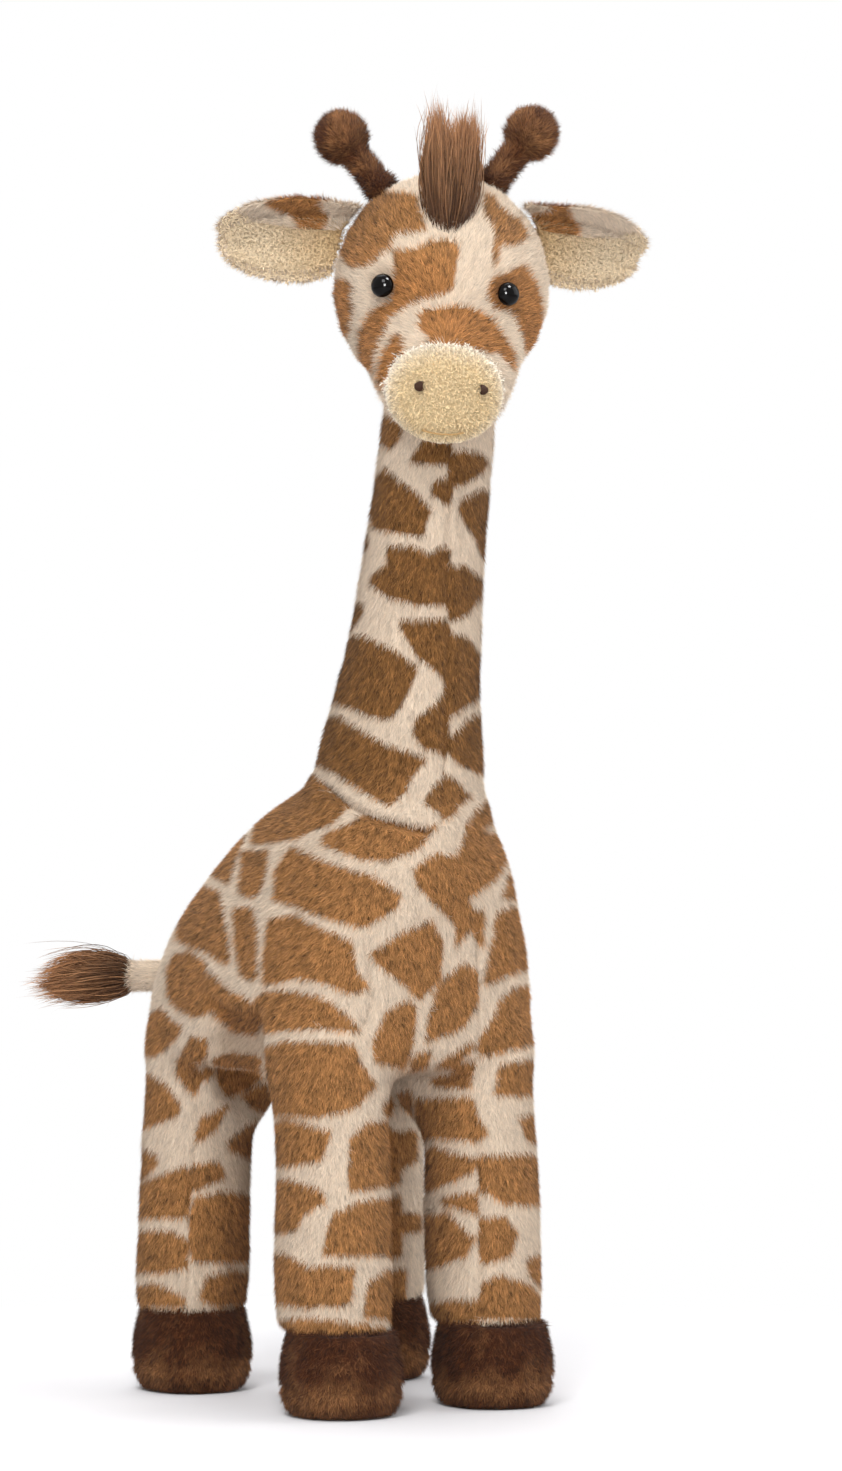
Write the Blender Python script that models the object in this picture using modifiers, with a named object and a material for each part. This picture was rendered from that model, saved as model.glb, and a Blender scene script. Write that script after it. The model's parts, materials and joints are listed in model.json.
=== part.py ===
"""A standing plush giraffe: sewn covers over fillings, a neck in two lengths, a head with its
ears, horns and muzzle, four legs on soft hooves, and a tail. Metres, +Z up, facing -Y."""

import math

import bmesh
import bpy
from mathutils import Matrix, Vector

# Cloth, seams and clearances.
CLEARANCE = 0.0003
CLOTH = 0.002
SEAM_WIDTH = 0.006
OVERRUN = 0.004
SEAM_BULGE = 0.001

# Torso: its underside's height, its overall sizes, and the extra wall where its cover dips.
TORSO_FLOOR = 0.1415
TORSO_HEIGHT = 0.117
TORSO_HALF_LENGTH = 0.0805
TORSO_HALF_WIDTH = 0.068
TORSO_PADDING = 0.0025

# Legs and hooves.
LEG_PIVOT_HEIGHT = 0.1485
LEG_RADIUS = 0.0257
CUFF_HEIGHT = 0.036
FRONT_LEG_X = 0.036
FRONT_LEG_Y = -0.0505
FRONT_CUFF_SHIFT_X = 0.001
FRONT_CUFF_SHIFT_Y = -0.005
FRONT_HOOF_SHIFT_Y = -0.0055
REAR_LEG_X = 0.0425
REAR_LEG_Y = 0.0515
REAR_CUFF_SHIFT_X = 0.003
REAR_CUFF_SHIFT_Y = 0.004
REAR_HOOF_SHIFT_Y = -0.001
HOOF_HALF_WIDTH = 0.0258
HOOF_HALF_LENGTH = 0.0285
SOLE_SEAM_HEIGHT = 0.012
SOLE_FLAT = 0.0005

# Neck: a leaning tube from the torso's ball to a ball inside the head.
NECK_PIVOT_Y = -0.041
NECK_PIVOT_HEIGHT = 0.243
NECK_LENGTH = 0.1915
NECK_BASE_RADIUS = 0.0383
NECK_TOP_RADIUS = 0.0242
NECK_TWIST_HEIGHT = 0.1
NECK_LEAN = math.radians(12.5)
NECK_BALL_EXTRA = 0.005
HEAD_BALL_EXTRA = 0.0004

# Head and snout.
HEAD_TURN = math.radians(-28)
HEAD_ROLL = math.radians(3.5)
HEAD_NOD = math.radians(14)
HEAD_RISE = 0.0405
HEAD_SHIFT_X = -0.0035
HEAD_HALF_WIDTH = 0.0462
HEAD_HALF_DEPTH = 0.0455
HEAD_HALF_HEIGHT = 0.0487
MUZZLE_FORWARD = 0.0405
MUZZLE_DROP = 0.048
MUZZLE_HALF_WIDTH = 0.0247
MUZZLE_SHIFT_X = 0.0018
MUZZLE_HALF_HEIGHT = 0.0212
MUZZLE_DEPTH = 0.018
MUZZLE_TILT = math.radians(20)

# Face fittings.
EYE_RADIUS = 0.005
EYE_DOME = 0.0038
EYE_X = 0.0258
EYE_DROP = 0.0057
SHANK_RADIUS = 0.0018
SHANK_LENGTH = 0.0075
WASHER_RADIUS = 0.006
WASHER_THICKNESS = 0.0012
WASHER_DEPTH = 0.0029
NOSTRIL_RADIUS = 0.0015
NOSTRIL_X = 0.0124
NOSTRIL_SHIFT_X = 0.002
NOSTRIL_RISE = 0.0055
MOUTH_HALF_WIDTH = 0.0085
MOUTH_DROP = 0.0125
MOUTH_SAG = 0.0012
THREAD_RADIUS = 0.0004

# Ears, horns and forelock.
EAR_LENGTH = 0.0525
EAR_HALF_WIDTH = 0.019
EAR_CUP = 0.008
EAR_CLOTH = 0.0022
EAR_LINING_CLOTH = 0.0015
EAR_RISE = 0.0228
EAR_UNEVENNESS = 0.003
EAR_STAND_OFF = 0.001
EAR_FACE = math.radians(35)
EAR_SWEEP_BACK = math.radians(16)
EAR_SWEEP_UNEVENNESS = math.radians(11)
EAR_DROOP = math.radians(5)
HORN_STEM_RADIUS = 0.0064
HORN_ROOT_RADIUS = 0.0074
HORN_BULB_RADIUS = 0.0116
HORN_LENGTH = 0.0262
HORN_X = 0.0225
HORN_SHIFT_X = -0.0045
HORN_STAND_OFF = 0.0015
HORN_SPLAY = math.radians(38)
HORN_LEAN = math.radians(3.5)
FORELOCK_SHIFT_X = -0.0015
FORELOCK_HALF_WIDTH = 0.0148
FORELOCK_HALF_DEPTH = 0.0075
FORELOCK_HEIGHT = 0.061
FORELOCK_RISE = 0.0165
FORELOCK_LEAN = 0.026
FORELOCK_ROOT_SHARE = 0.4

# Tail.
TAIL_RADIUS = 0.0085
TAIL_LENGTH = 0.054
TAIL_HEIGHT = 0.0375
TAIL_STAND_OFF = 0.0055
TAIL_TURN = math.radians(53)
TUFT_RADIUS = 0.0118
TUFT_LENGTH = 0.047

# Section tables, as shares of the sizes above.
# Torso: height, centre, half length, half width, squareness, spread towards the rump.
TORSO_SHARES = (
    (0.0, 0.03, 0.93, 0.92, 4.2, 0.05),
    (0.06, 0.03, 0.99, 0.98, 4.5, 0.05),
    (0.22, 0.03, 1.0, 1.0, 4.5, 0.05),
    (0.47, -0.03, 0.975, 0.955, 3.6, 0.05),
    (0.68, -0.19, 0.865, 0.85, 2.9, 0.03),
    (0.86, -0.37, 0.715, 0.73, 2.4, 0.0),
    (0.985, -0.5, 0.50, 0.56, 2.1, 0.0),
)
TORSO_LEAN_SHARES = (0.0, 0.0, 0.0, 0.1, 0.35, 0.7, 1.0)
# Leg: height below the pivot, radius.
LEG_SHARES = ((0.0, 1.0), (0.45, 0.985), (0.9, 1.03), (1.04, 0.955))
# Hoof: height, width, length, all of its own sizes.
HOOF_SHARES = ((0.0, 0.8, 0.79), (0.16, 1.0, 0.99), (0.6, 1.03, 1.02), (1.12, 0.84, 0.79))
# Neck: distance along it, radius between the top's and the base's.
NECK_SHARES = (
    (0.0, 0.98), (0.08, 1.03), (0.15, 0.91), (0.28, 0.57), (0.47, 0.28), (0.72, 0.1), (0.99, 0.0),
)
# Snout: way from the head's centre to the muzzle's seam, half width, half height, tilt.
SNOUT_SHARES = (
    (0.12, 1.5, 1.6, 1.6), (0.55, 1.46, 1.34, 1.55), (0.88, 1.22, 1.07, 1.15), (1.12, 1.0, 0.96, 1.0),
)
# Muzzle: way along its axis, half width, half height.
MUZZLE_SHARES = ((-0.3, 0.95, 0.93), (0.2, 1.04, 1.03), (0.7, 0.92, 0.9), (0.98, 0.5, 0.48))
# Ear: way along it, half width; then the columns across it, from its lower edge up.
EAR_SHARES = (
    (-0.22, 0.66), (0.0, 0.79), (0.1, 0.88), (0.3, 1.0), (0.5, 1.0), (0.7, 0.88), (0.86, 0.67), (0.94, 0.48), (0.99, 0.26),
)
EAR_ACROSS_SHARES = (-1.0, -0.8, -0.42, 0.0, 0.45, 0.75, 1.0)
EAR_FLAT_SHARE = 0.35
# Forelock and tuft: way along them, half width or radius.
FORELOCK_SHARES = ((0.0, 0.55), (0.2, 0.9), (0.5, 1.0), (0.85, 0.84), (1.0, 0.4))
TUFT_SHARES = ((0.0, 0.66), (0.28, 1.0), (0.65, 0.78), (1.0, 0.16))
TAIL_SHARES = ((0.0, 0.97), (0.5, 0.98), (1.0, 0.93))

CREAM = (0.84, 0.75, 0.62)
BROWN = (0.11, 0.045, 0.018)


for leftover in list(bpy.data.objects):
    bpy.data.objects.remove(leftover, do_unlink=True)


def new_collection(name):
    collection = bpy.data.collections.new(name)
    bpy.context.scene.collection.children.link(collection)
    return collection


PARTS = new_collection("plush_giraffe")
CUTTERS = new_collection("cutters")


def finish(name, colour, roughness, metallic=0.0):
    material = bpy.data.materials.new(name)
    material.use_nodes = True
    shader = material.node_tree.nodes["Principled BSDF"]
    shader.inputs["Base Color"].default_value = (*colour, 1.0)
    shader.inputs["Roughness"].default_value = roughness
    shader.inputs["Metallic"].default_value = metallic
    return material


PLUSH = finish("patterned_plush", CREAM, 0.9)
FILLING = finish("polyester_filling", (0.9, 0.9, 0.88), 1.0)
HOOF_PLUSH = finish("brown_short_plush", BROWN, 0.85)
CURLY_PLUSH = finish("cream_curly_plush", (0.72, 0.62, 0.38), 0.95)
LONG_PILE = finish("brown_long_pile", (0.16, 0.08, 0.05), 0.6)
EYE_PLASTIC = finish("black_gloss_plastic", (0.01, 0.01, 0.01), 0.08)
WASHER_PLASTIC = finish("white_plastic", (0.8, 0.8, 0.8), 0.4)
THREAD = finish("dark_thread", (0.03, 0.02, 0.015), 0.7)


def axis_empty(name, parent, place, turn=(0.0, 0.0, 0.0)):
    """An empty that carries one body, on that body's joint axis."""
    empty = bpy.data.objects.new(name, None)
    CUTTERS.objects.link(empty)
    empty.parent = parent
    empty.location = place
    empty.rotation_euler = turn
    empty.empty_display_size = SEAM_WIDTH
    return empty


def place_object(name, mesh, parent, material=None, place=(0.0, 0.0, 0.0), turn=(0.0, 0.0, 0.0)):
    """A part where a material is given, otherwise a hidden cutter."""
    piece = bpy.data.objects.new(name, mesh)
    piece.parent = parent
    piece.location = place
    piece.rotation_euler = turn
    if material is None:
        CUTTERS.objects.link(piece)
        piece.hide_render = True
        piece.display_type = "WIRE"
    else:
        PARTS.objects.link(piece)
        mesh.materials.append(material)
    return piece


def add_boolean(piece, other, operation):
    boolean = piece.modifiers.new(operation.lower(), "BOOLEAN")
    boolean.object = other
    boolean.operation = operation
    boolean.solver = "EXACT"


def cut(piece, *cutters):
    for cutter in cutters:
        add_boolean(piece, cutter, "DIFFERENCE")


def join(piece, *others):
    for other in others:
        add_boolean(piece, other, "UNION")


def section(row, size, count):
    """A ring of points on a rounded rectangle, set at its centre and turned."""
    centre, half_width, half_length, square, spread, turn = row
    points = []
    for step in range(count):
        angle = math.tau * step / count
        across, along = math.cos(angle), math.sin(angle)
        across = math.copysign(abs(across) ** (2 / square), across)
        along = math.copysign(abs(along) ** (2 / square), along)
        wide = (half_width + size) * across * (1 + spread * along)
        points.append(centre + turn @ Vector((wide, (half_length + size) * along, 0)))
    return points


def cage_mesh(name, rings, sharp_ends, split_faces=False):
    """A closed cage through the rings, capped, with a crease round each sharp end. Split faces
    keep a hollow and the filling inside it parallel."""
    shape = bmesh.new()
    rows = [[shape.verts.new(point) for point in ring] for ring in rings]
    count = len(rows[0])
    for lower, upper in zip(rows, rows[1:]):
        for step in range(count):
            after = (step + 1) % count
            shape.faces.new((lower[step], lower[after], upper[after], upper[step]))
    caps = (shape.faces.new(list(reversed(rows[0]))), shape.faces.new(rows[-1]))
    crease = shape.edges.layers.float.new("crease_edge")
    for cap, sharp in zip(caps, sharp_ends):
        for edge in cap.edges:
            edge[crease] = float(sharp)
    if split_faces:
        sides = [face for face in shape.faces if face not in caps]
        bmesh.ops.triangulate(shape, faces=sides, quad_method="FIXED")
    bmesh.ops.recalc_face_normals(shape, faces=shape.faces[:])
    mesh = bpy.data.meshes.new(name)
    shape.to_mesh(mesh)
    shape.free()
    mesh.shade_smooth()
    return mesh


def form(name, parent, rows, count, depth=0.0, material=None, sharp_ends=(True, True)):
    """A soft form over its rows of sections: rounded where it shows, or plain and set in by a
    depth where it is a cover's hollow or its filling."""
    if depth > 0:
        for end, inner in ((0, 1), (-1, -2)):
            inward = (rows[inner][0] - rows[end][0]).normalized() * depth
            rows[end] = (rows[end][0] + inward, *rows[end][1:])
        rings = [section(row, -depth, count) for row in rows]
        return place_object(name, cage_mesh(name, rings, sharp_ends, True), parent, material)
    # Subdivision draws a ring in by this share.
    growth_share = 8 / (6 + 2 * math.cos(math.tau / count)) - 1
    rings = [section(row, growth_share * (row[1] + row[2]) / 2, count) for row in rows]
    piece = place_object(name, cage_mesh(name, rings, sharp_ends), parent, material)
    smooth = piece.modifiers.new("smooth", "SUBSURF")
    smooth.levels = 1
    smooth.render_levels = 1
    return piece


def ball(name, parent, place, radius, segments=24):
    shape = bmesh.new()
    bmesh.ops.create_uvsphere(shape, u_segments=segments, v_segments=segments // 2, radius=radius)
    mesh = bpy.data.meshes.new(name)
    shape.to_mesh(mesh)
    shape.free()
    return place_object(name, mesh, parent, None, place)


def socket_radius(radius, segments=24):
    """The radius of a faceted ball that clears a turning one of the given radius."""
    return (radius + CLEARANCE) / math.cos(math.pi / segments) ** 2


def rod(name, parent, place, radius, low, high, turn=(0.0, 0.0, 0.0), top_radius=None, segments=24):
    """A cylinder or cone between two heights of its own axis."""
    shape = bmesh.new()
    bmesh.ops.create_cone(
        shape, cap_ends=True, segments=segments, radius1=radius,
        radius2=radius if top_radius is None else top_radius, depth=high - low)
    bmesh.ops.translate(shape, verts=shape.verts, vec=Vector((0, 0, (low + high) / 2)))
    mesh = bpy.data.meshes.new(name)
    shape.to_mesh(mesh)
    shape.free()
    return place_object(name, mesh, parent, None, place, turn)


def block(name, parent, reach, low, high, turn=(0.0, 0.0, 0.0), place=(0.0, 0.0, 0.0)):
    """A square slab between two heights, for cutting a form flat."""
    shape = bmesh.new()
    bmesh.ops.create_cube(shape, size=1)
    bmesh.ops.scale(shape, verts=shape.verts, vec=Vector((2 * reach, 2 * reach, high - low)))
    bmesh.ops.translate(shape, verts=shape.verts, vec=Vector((0, 0, (low + high) / 2)))
    mesh = bpy.data.meshes.new(name)
    shape.to_mesh(mesh)
    shape.free()
    return place_object(name, mesh, parent, None, place, turn)


def evaluated_mesh(piece):
    graph = bpy.context.evaluated_depsgraph_get()
    return piece.evaluated_get(graph)


def surface_point(piece, start, direction):
    """Where a line in the piece's own space first meets its surface, and the normal there."""
    hit, point, normal, _ = evaluated_mesh(piece).ray_cast(Vector(start), Vector(direction))
    assert hit
    return point, normal


def turn_to(direction, side=Vector((0, 1, 0))):
    """The rotation whose Z axis lies along a direction, with its Y axis near a given side."""
    z_axis = Vector(direction).normalized()
    x_axis = side.cross(z_axis).normalized()
    y_axis = z_axis.cross(x_axis)
    return Matrix((x_axis, y_axis, z_axis)).transposed().to_euler()


STAND = axis_empty("stand", None, (0, 0, 0))
TORSO_AXIS = axis_empty("torso_body", STAND, (0, 0, TORSO_FLOOR))
NECK_AXIS = axis_empty(
    "neck_base_bend_axis", STAND, (0, NECK_PIVOT_Y, NECK_PIVOT_HEIGHT), (NECK_LEAN, 0, 0))
HEAD_AXIS = axis_empty(
    "head_nod_axis", STAND,
    (0, NECK_PIVOT_Y - NECK_LENGTH * math.sin(NECK_LEAN),
     NECK_PIVOT_HEIGHT + NECK_LENGTH * math.cos(NECK_LEAN)),
    (0, HEAD_ROLL, HEAD_TURN))
NECK_BALL_RADIUS = NECK_BASE_RADIUS + NECK_BALL_EXTRA
HEAD_BALL_RADIUS = NECK_TOP_RADIUS + HEAD_BALL_EXTRA
LEG_BALL_RADIUS = LEG_RADIUS + SEAM_BULGE

LEGS = {}
for end, side_sign in (("front", 1), ("front", -1), ("rear", 1), ("rear", -1)):
    leg_name = end + ("_left" if side_sign > 0 else "_right")
    leg_x, leg_y = (FRONT_LEG_X, FRONT_LEG_Y) if end == "front" else (REAR_LEG_X, REAR_LEG_Y)
    LEGS[leg_name] = axis_empty(
        leg_name + "_leg_swing_axis", STAND, (side_sign * leg_x, leg_y, LEG_PIVOT_HEIGHT))


def torso_shape(name, depth, material=None):
    """The torso's form with its seam balls, set in by a depth."""
    rows = []
    for shares, lean in zip(TORSO_SHARES, TORSO_LEAN_SHARES):
        height, centre, length, width, square, spread = shares
        rows.append((
            Vector((0, centre * TORSO_HALF_LENGTH, height * TORSO_HEIGHT)),
            width * TORSO_HALF_WIDTH, length * TORSO_HALF_LENGTH,
            square, spread, Matrix.Rotation(lean * NECK_LEAN, 3, "X")))
    inner = depth > 0
    piece = form(name, TORSO_AXIS, rows, 12, depth + TORSO_PADDING if inner else 0, material)
    join(piece, ball(
        name + "_neck_ball", NECK_AXIS, (0, 0, 0), NECK_BALL_RADIUS - depth, 16 if inner else 32))
    for side, axis in LEGS.items():
        join(piece, ball(
            name + "_" + side + "_ball", axis, (0, 0, 0), LEG_BALL_RADIUS - depth, 12 if inner else 16))
    return piece


def torso():
    outer = torso_shape("torso_outer", 0)
    rump, _ = surface_point(outer, (0, TORSO_HALF_LENGTH * 2, TAIL_HEIGHT), (0, -1, 0))
    tail_axis = axis_empty(
        "tail_swing_axis", TORSO_AXIS, (0, rump.y + TAIL_STAND_OFF, TAIL_HEIGHT), (0, 0, TAIL_TURN))
    cover = torso_shape("torso_cover", 0, PLUSH)
    cut(cover, torso_shape("torso_hollow", CLOTH))
    filling = torso_shape("torso_filling", CLOTH + CLEARANCE, FILLING)
    cut(cover, rod(
        "neck_seam_opening", NECK_AXIS, (0, 0, 0), NECK_BASE_RADIUS - 2 * SEAM_WIDTH,
        NECK_BALL_RADIUS / 2, NECK_BALL_RADIUS + OVERRUN, segments=20))
    for side, axis in LEGS.items():
        cut(cover, rod(
            side + "_seam_opening", axis, (0, 0, 0), LEG_RADIUS - SEAM_WIDTH,
            -LEG_BALL_RADIUS - OVERRUN, -LEG_BALL_RADIUS / 2, segments=12))
    dish = ball("tail_dish", tail_axis, (0, 0, 0), socket_radius(TAIL_RADIUS, 16), 16)
    cut(cover, dish)
    cut(filling, dish)
    return tail_axis


def leg(name, leg_axis, cuff_shift, hoof_shift):
    """One leg: its cover, hoof and sole, over one filling."""
    count = 8
    drop = LEG_PIVOT_HEIGHT - CUFF_HEIGHT
    cuff_shift = Vector((cuff_shift[0], cuff_shift[1], 0))
    upright = Matrix.Identity(3)

    def leg_shape(piece_name, depth, material=None):
        rows = []
        for height, radius in reversed(LEG_SHARES):
            centre = cuff_shift * height - Vector((0, 0, drop * height))
            rows.append((centre, radius * LEG_RADIUS, radius * LEG_RADIUS, 2, 0, upright))
        return form(piece_name, leg_axis, rows, count, depth, material)

    def hoof_shape(piece_name, depth, material=None):
        rows = []
        for height, width, length in HOOF_SHARES:
            height = -LEG_PIVOT_HEIGHT - SOLE_FLAT + height * (CUFF_HEIGHT + SOLE_FLAT)
            centre = cuff_shift + Vector((0, hoof_shift, height))
            rows.append((centre, width * HOOF_HALF_WIDTH, length * HOOF_HALF_LENGTH, 2.3, 0, upright))
        return form(piece_name, leg_axis, rows, count, depth, material)

    reach = LEG_BALL_RADIUS * 2
    middle = (0, 0, 0)
    socket = ball(name + "_socket", leg_axis, middle, socket_radius(LEG_BALL_RADIUS, 16), 16)
    inner_socket = ball(name + "_inner_socket", leg_axis, middle, socket_radius(LEG_BALL_RADIUS, 12), 12)
    below_cuff = block(name + "_below_cuff", leg_axis, reach, -LEG_PIVOT_HEIGHT, -drop)
    above_cuff = block(name + "_above_cuff", leg_axis, reach, -drop - CLEARANCE, 0)
    seam = SOLE_SEAM_HEIGHT - LEG_PIVOT_HEIGHT
    below_seam = block(name + "_below_seam", leg_axis, reach, -LEG_PIVOT_HEIGHT - OVERRUN, seam)
    above_seam = block(name + "_above_seam", leg_axis, reach, seam - CLEARANCE, 0)
    below_floor = block(
        name + "_below_floor", leg_axis, reach, -LEG_PIVOT_HEIGHT - OVERRUN, -LEG_PIVOT_HEIGHT)

    cover = leg_shape(name + "_leg_cover", 0, PLUSH)
    cut(cover, socket, leg_shape(name + "_leg_hollow", CLOTH), below_cuff)
    hoof_hollow = hoof_shape(name + "_hoof_hollow", CLOTH)
    hoof = hoof_shape(name + "_hoof", 0, HOOF_PLUSH)
    cut(hoof, hoof_hollow, above_cuff, below_seam)
    sole = hoof_shape(name + "_sole", 0, HOOF_PLUSH)
    cut(sole, hoof_hollow, above_seam, below_floor)
    filling = leg_shape(name + "_leg_filling", CLOTH + CLEARANCE, FILLING)
    hoof_stuffing = hoof_shape(name + "_hoof_stuffing", CLOTH + CLEARANCE)
    cut(hoof_stuffing, above_cuff)
    cuff_stuffing = rod(
        name + "_cuff_stuffing", leg_axis, cuff_shift, LEG_RADIUS / 2, -drop - OVERRUN, OVERRUN - drop,
        segments=10)
    cut(filling, below_cuff)
    join(filling, cuff_stuffing, hoof_stuffing)
    cut(filling, inner_socket)


def neck():
    """Both lengths of the neck, from one form cut at the twist's height."""
    straight = Matrix.Identity(3)

    def neck_shape(name, depth, material=None, with_ball=False):
        rows = []
        for way, girth in NECK_SHARES:
            radius = NECK_TOP_RADIUS + girth * (NECK_BASE_RADIUS - NECK_TOP_RADIUS)
            rows.append((Vector((0, 0, way * NECK_LENGTH)), radius, radius, 2, 0, straight))
        piece = form(name, NECK_AXIS, rows, 12 if depth > 0 else 10, depth, material)
        if with_ball:
            join(piece, ball(
                name + "_ball", NECK_AXIS, (0, 0, NECK_LENGTH), HEAD_BALL_RADIUS - depth,
                16 if depth > 0 else 20))
        return piece

    reach = NECK_BASE_RADIUS * 2
    middle = (0, 0, 0)
    socket = ball("neck_socket", NECK_AXIS, middle, socket_radius(NECK_BALL_RADIUS, 32), 32)
    inner_socket = ball("neck_inner_socket", NECK_AXIS, middle, socket_radius(NECK_BALL_RADIUS, 16), 16)
    above = block(
        "neck_above_twist", NECK_AXIS, reach,
        NECK_TWIST_HEIGHT - CLEARANCE / 2, NECK_LENGTH + HEAD_BALL_RADIUS * 2)
    below = block(
        "neck_below_twist", NECK_AXIS, reach, -NECK_LENGTH / 2, NECK_TWIST_HEIGHT + CLEARANCE / 2)
    hollow = neck_shape("neck_hollow", CLOTH, with_ball=True)
    lower_cover = neck_shape("neck_lower_cover", 0, PLUSH)
    cut(lower_cover, socket, hollow, above)
    lower_filling = neck_shape("neck_lower_filling", CLOTH + CLEARANCE, FILLING)
    cut(lower_filling, inner_socket, above)
    upper_cover = neck_shape("neck_upper_cover", 0, PLUSH, with_ball=True)
    opening = rod(
        "head_seam_opening", NECK_AXIS, (0, 0, NECK_LENGTH), HEAD_BALL_RADIUS - SEAM_WIDTH,
        HEAD_BALL_RADIUS / 3, HEAD_BALL_RADIUS + OVERRUN, segments=14)
    cut(upper_cover, hollow, below, opening)
    upper_filling = neck_shape("neck_upper_filling", CLOTH + CLEARANCE, FILLING, with_ball=True)
    cut(upper_filling, below)


HEAD_CENTRE = Vector((HEAD_SHIFT_X, 0, HEAD_RISE))
MUZZLE_CENTRE = HEAD_CENTRE + Vector((MUZZLE_SHIFT_X, -MUZZLE_FORWARD, -MUZZLE_DROP))
# The muzzle's axis points forward and down: its Z axis, with its Y axis downwards and back.
MUZZLE_TURN = Matrix.Rotation(math.pi / 2 + MUZZLE_TILT, 3, "X")


def muzzle_shape(name, depth, material=None):
    rows = []
    for way, width, height in MUZZLE_SHARES:
        centre = MUZZLE_CENTRE + MUZZLE_TURN @ Vector((0, 0, way * MUZZLE_DEPTH))
        rows.append((
            centre, width * MUZZLE_HALF_WIDTH, height * MUZZLE_HALF_HEIGHT, 2.2, 0, MUZZLE_TURN))
    return form(name, HEAD_AXIS, rows, 10, depth, material, (True, False))


def head_shape(name, depth, material=None):
    """The head's ball with the snout that runs down to the muzzle."""
    shape = bmesh.new()
    segments = 14 if depth > 0 else 20
    bmesh.ops.create_uvsphere(shape, u_segments=segments, v_segments=segments // 2 + 1, radius=1)
    size = Vector((HEAD_HALF_WIDTH - depth, HEAD_HALF_DEPTH - depth, HEAD_HALF_HEIGHT - depth))
    bmesh.ops.scale(shape, verts=shape.verts, vec=size)
    bmesh.ops.translate(shape, verts=shape.verts, vec=HEAD_CENTRE)
    mesh = bpy.data.meshes.new(name)
    shape.to_mesh(mesh)
    shape.free()
    mesh.shade_smooth()
    piece = place_object(name, mesh, HEAD_AXIS, material)
    rows = []
    for way, width, height, tilt in SNOUT_SHARES:
        rows.append((
            HEAD_CENTRE.lerp(MUZZLE_CENTRE, way), width * MUZZLE_HALF_WIDTH, height * MUZZLE_HALF_HEIGHT,
            2.1, 0, Matrix.Rotation(math.pi / 2 + tilt * MUZZLE_TILT, 3, "X")))
    join(piece, form(name + "_snout", HEAD_AXIS, rows, 10, depth))
    return piece


def head():
    """The head's cover and filling, the muzzle, and what is fixed through them."""
    outer = head_shape("head_outer", 0)
    muzzle_outer = muzzle_shape("muzzle_outer", 0)
    reach = HEAD_HALF_HEIGHT
    turn = MUZZLE_TURN.to_euler()
    in_front = block(
        "snout_in_front", HEAD_AXIS, reach, -CLEARANCE, MUZZLE_DEPTH * 3, turn, MUZZLE_CENTRE)
    behind = block("muzzle_behind", HEAD_AXIS, reach, -MUZZLE_DEPTH * 3, 0, turn, MUZZLE_CENTRE)
    neck_socket = ball("head_socket", HEAD_AXIS, (0, 0, 0), socket_radius(HEAD_BALL_RADIUS))
    sweep_drop = MUZZLE_DROP + MUZZLE_HALF_HEIGHT
    sweep = rod(
        "neck_sweep", HEAD_AXIS, (0, 0, 0),
        socket_radius(HEAD_BALL_RADIUS) + sweep_drop * math.tan(HEAD_NOD + NECK_LEAN / 2), -sweep_drop, 0,
        top_radius=socket_radius(HEAD_BALL_RADIUS))

    cover = head_shape("head_cover", 0, PLUSH)
    cut(cover, head_shape("head_hollow", CLOTH), in_front, neck_socket, sweep)
    muzzle_cover = muzzle_shape("muzzle_cover", 0, CURLY_PLUSH)
    cut(muzzle_cover, muzzle_shape("muzzle_hollow", CLOTH), behind, sweep)
    filling = head_shape("head_filling", CLOTH + CLEARANCE, FILLING)
    cut(filling, in_front)
    join(filling, muzzle_shape("muzzle_stuffing", CLOTH + CLEARANCE))
    cut(filling, neck_socket, sweep)

    for side_sign, side in ((1, "left"), (-1, "right")):
        fit_eye(side, side_sign, outer, cover, filling)
        fit_horn(side, side_sign, outer, cover, filling)
        fit_ear(side, side_sign, outer)
    stitch_face(muzzle_outer, muzzle_cover)
    plant_forelock(outer)


def turned(name, parent, profile, material, place, turn, steps=12):
    """A turned piece: a profile down its outer side, swept once about Z."""
    mesh = bpy.data.meshes.new(name)
    points = [(radius, 0, height) for radius, height in profile]
    mesh.from_pydata(points, [(step, step + 1) for step in range(len(points) - 1)], [])
    piece = place_object(name, mesh, parent, material, place, turn)
    screw = piece.modifiers.new("turn", "SCREW")
    screw.steps = steps
    screw.render_steps = steps
    screw.use_merge_vertices = True
    screw.merge_threshold = 0.00001
    return piece


def fit_eye(side, side_sign, outer, cover, filling):
    """A safety eye: dome and shank in one, through the cover, into a washer."""
    start = (HEAD_CENTRE.x + side_sign * EYE_X, -HEAD_HALF_DEPTH * 2, HEAD_CENTRE.z - EYE_DROP)
    place, normal = surface_point(outer, start, (0, 1, 0))
    turn = turn_to(normal)
    seat = CLEARANCE
    dome = []
    arc_steps = 4
    for step in range(arc_steps + 1):
        angle = math.pi / 2 * (1 - step / arc_steps)
        dome.append((EYE_RADIUS * math.cos(angle), seat + EYE_DOME * math.sin(angle)))
    profile = dome + [
        (SHANK_RADIUS, seat), (SHANK_RADIUS, -SHANK_LENGTH), (0, -SHANK_LENGTH)]
    turned("eye_" + side, HEAD_AXIS, profile, EYE_PLASTIC, place, turn)
    bore = SHANK_RADIUS + CLEARANCE
    ring_low = -WASHER_DEPTH - WASHER_THICKNESS
    ring = [
        (bore, -WASHER_DEPTH), (WASHER_RADIUS, -WASHER_DEPTH), (WASHER_RADIUS, ring_low),
        (bore, ring_low), (bore, -WASHER_DEPTH)]
    turned("eye_washer_" + side, HEAD_AXIS, ring, WASHER_PLASTIC, place, turn)
    hole = rod(
        "eye_hole_" + side, HEAD_AXIS, place, bore, -SHANK_LENGTH - CLEARANCE, OVERRUN, turn,
        segments=16)
    pocket = rod(
        "eye_pocket_" + side, HEAD_AXIS, place, WASHER_RADIUS + CLEARANCE,
        ring_low - CLEARANCE, CLEARANCE - WASHER_DEPTH, turn, segments=16)
    cut(cover, pocket, hole)
    cut(filling, pocket, hole)


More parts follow.
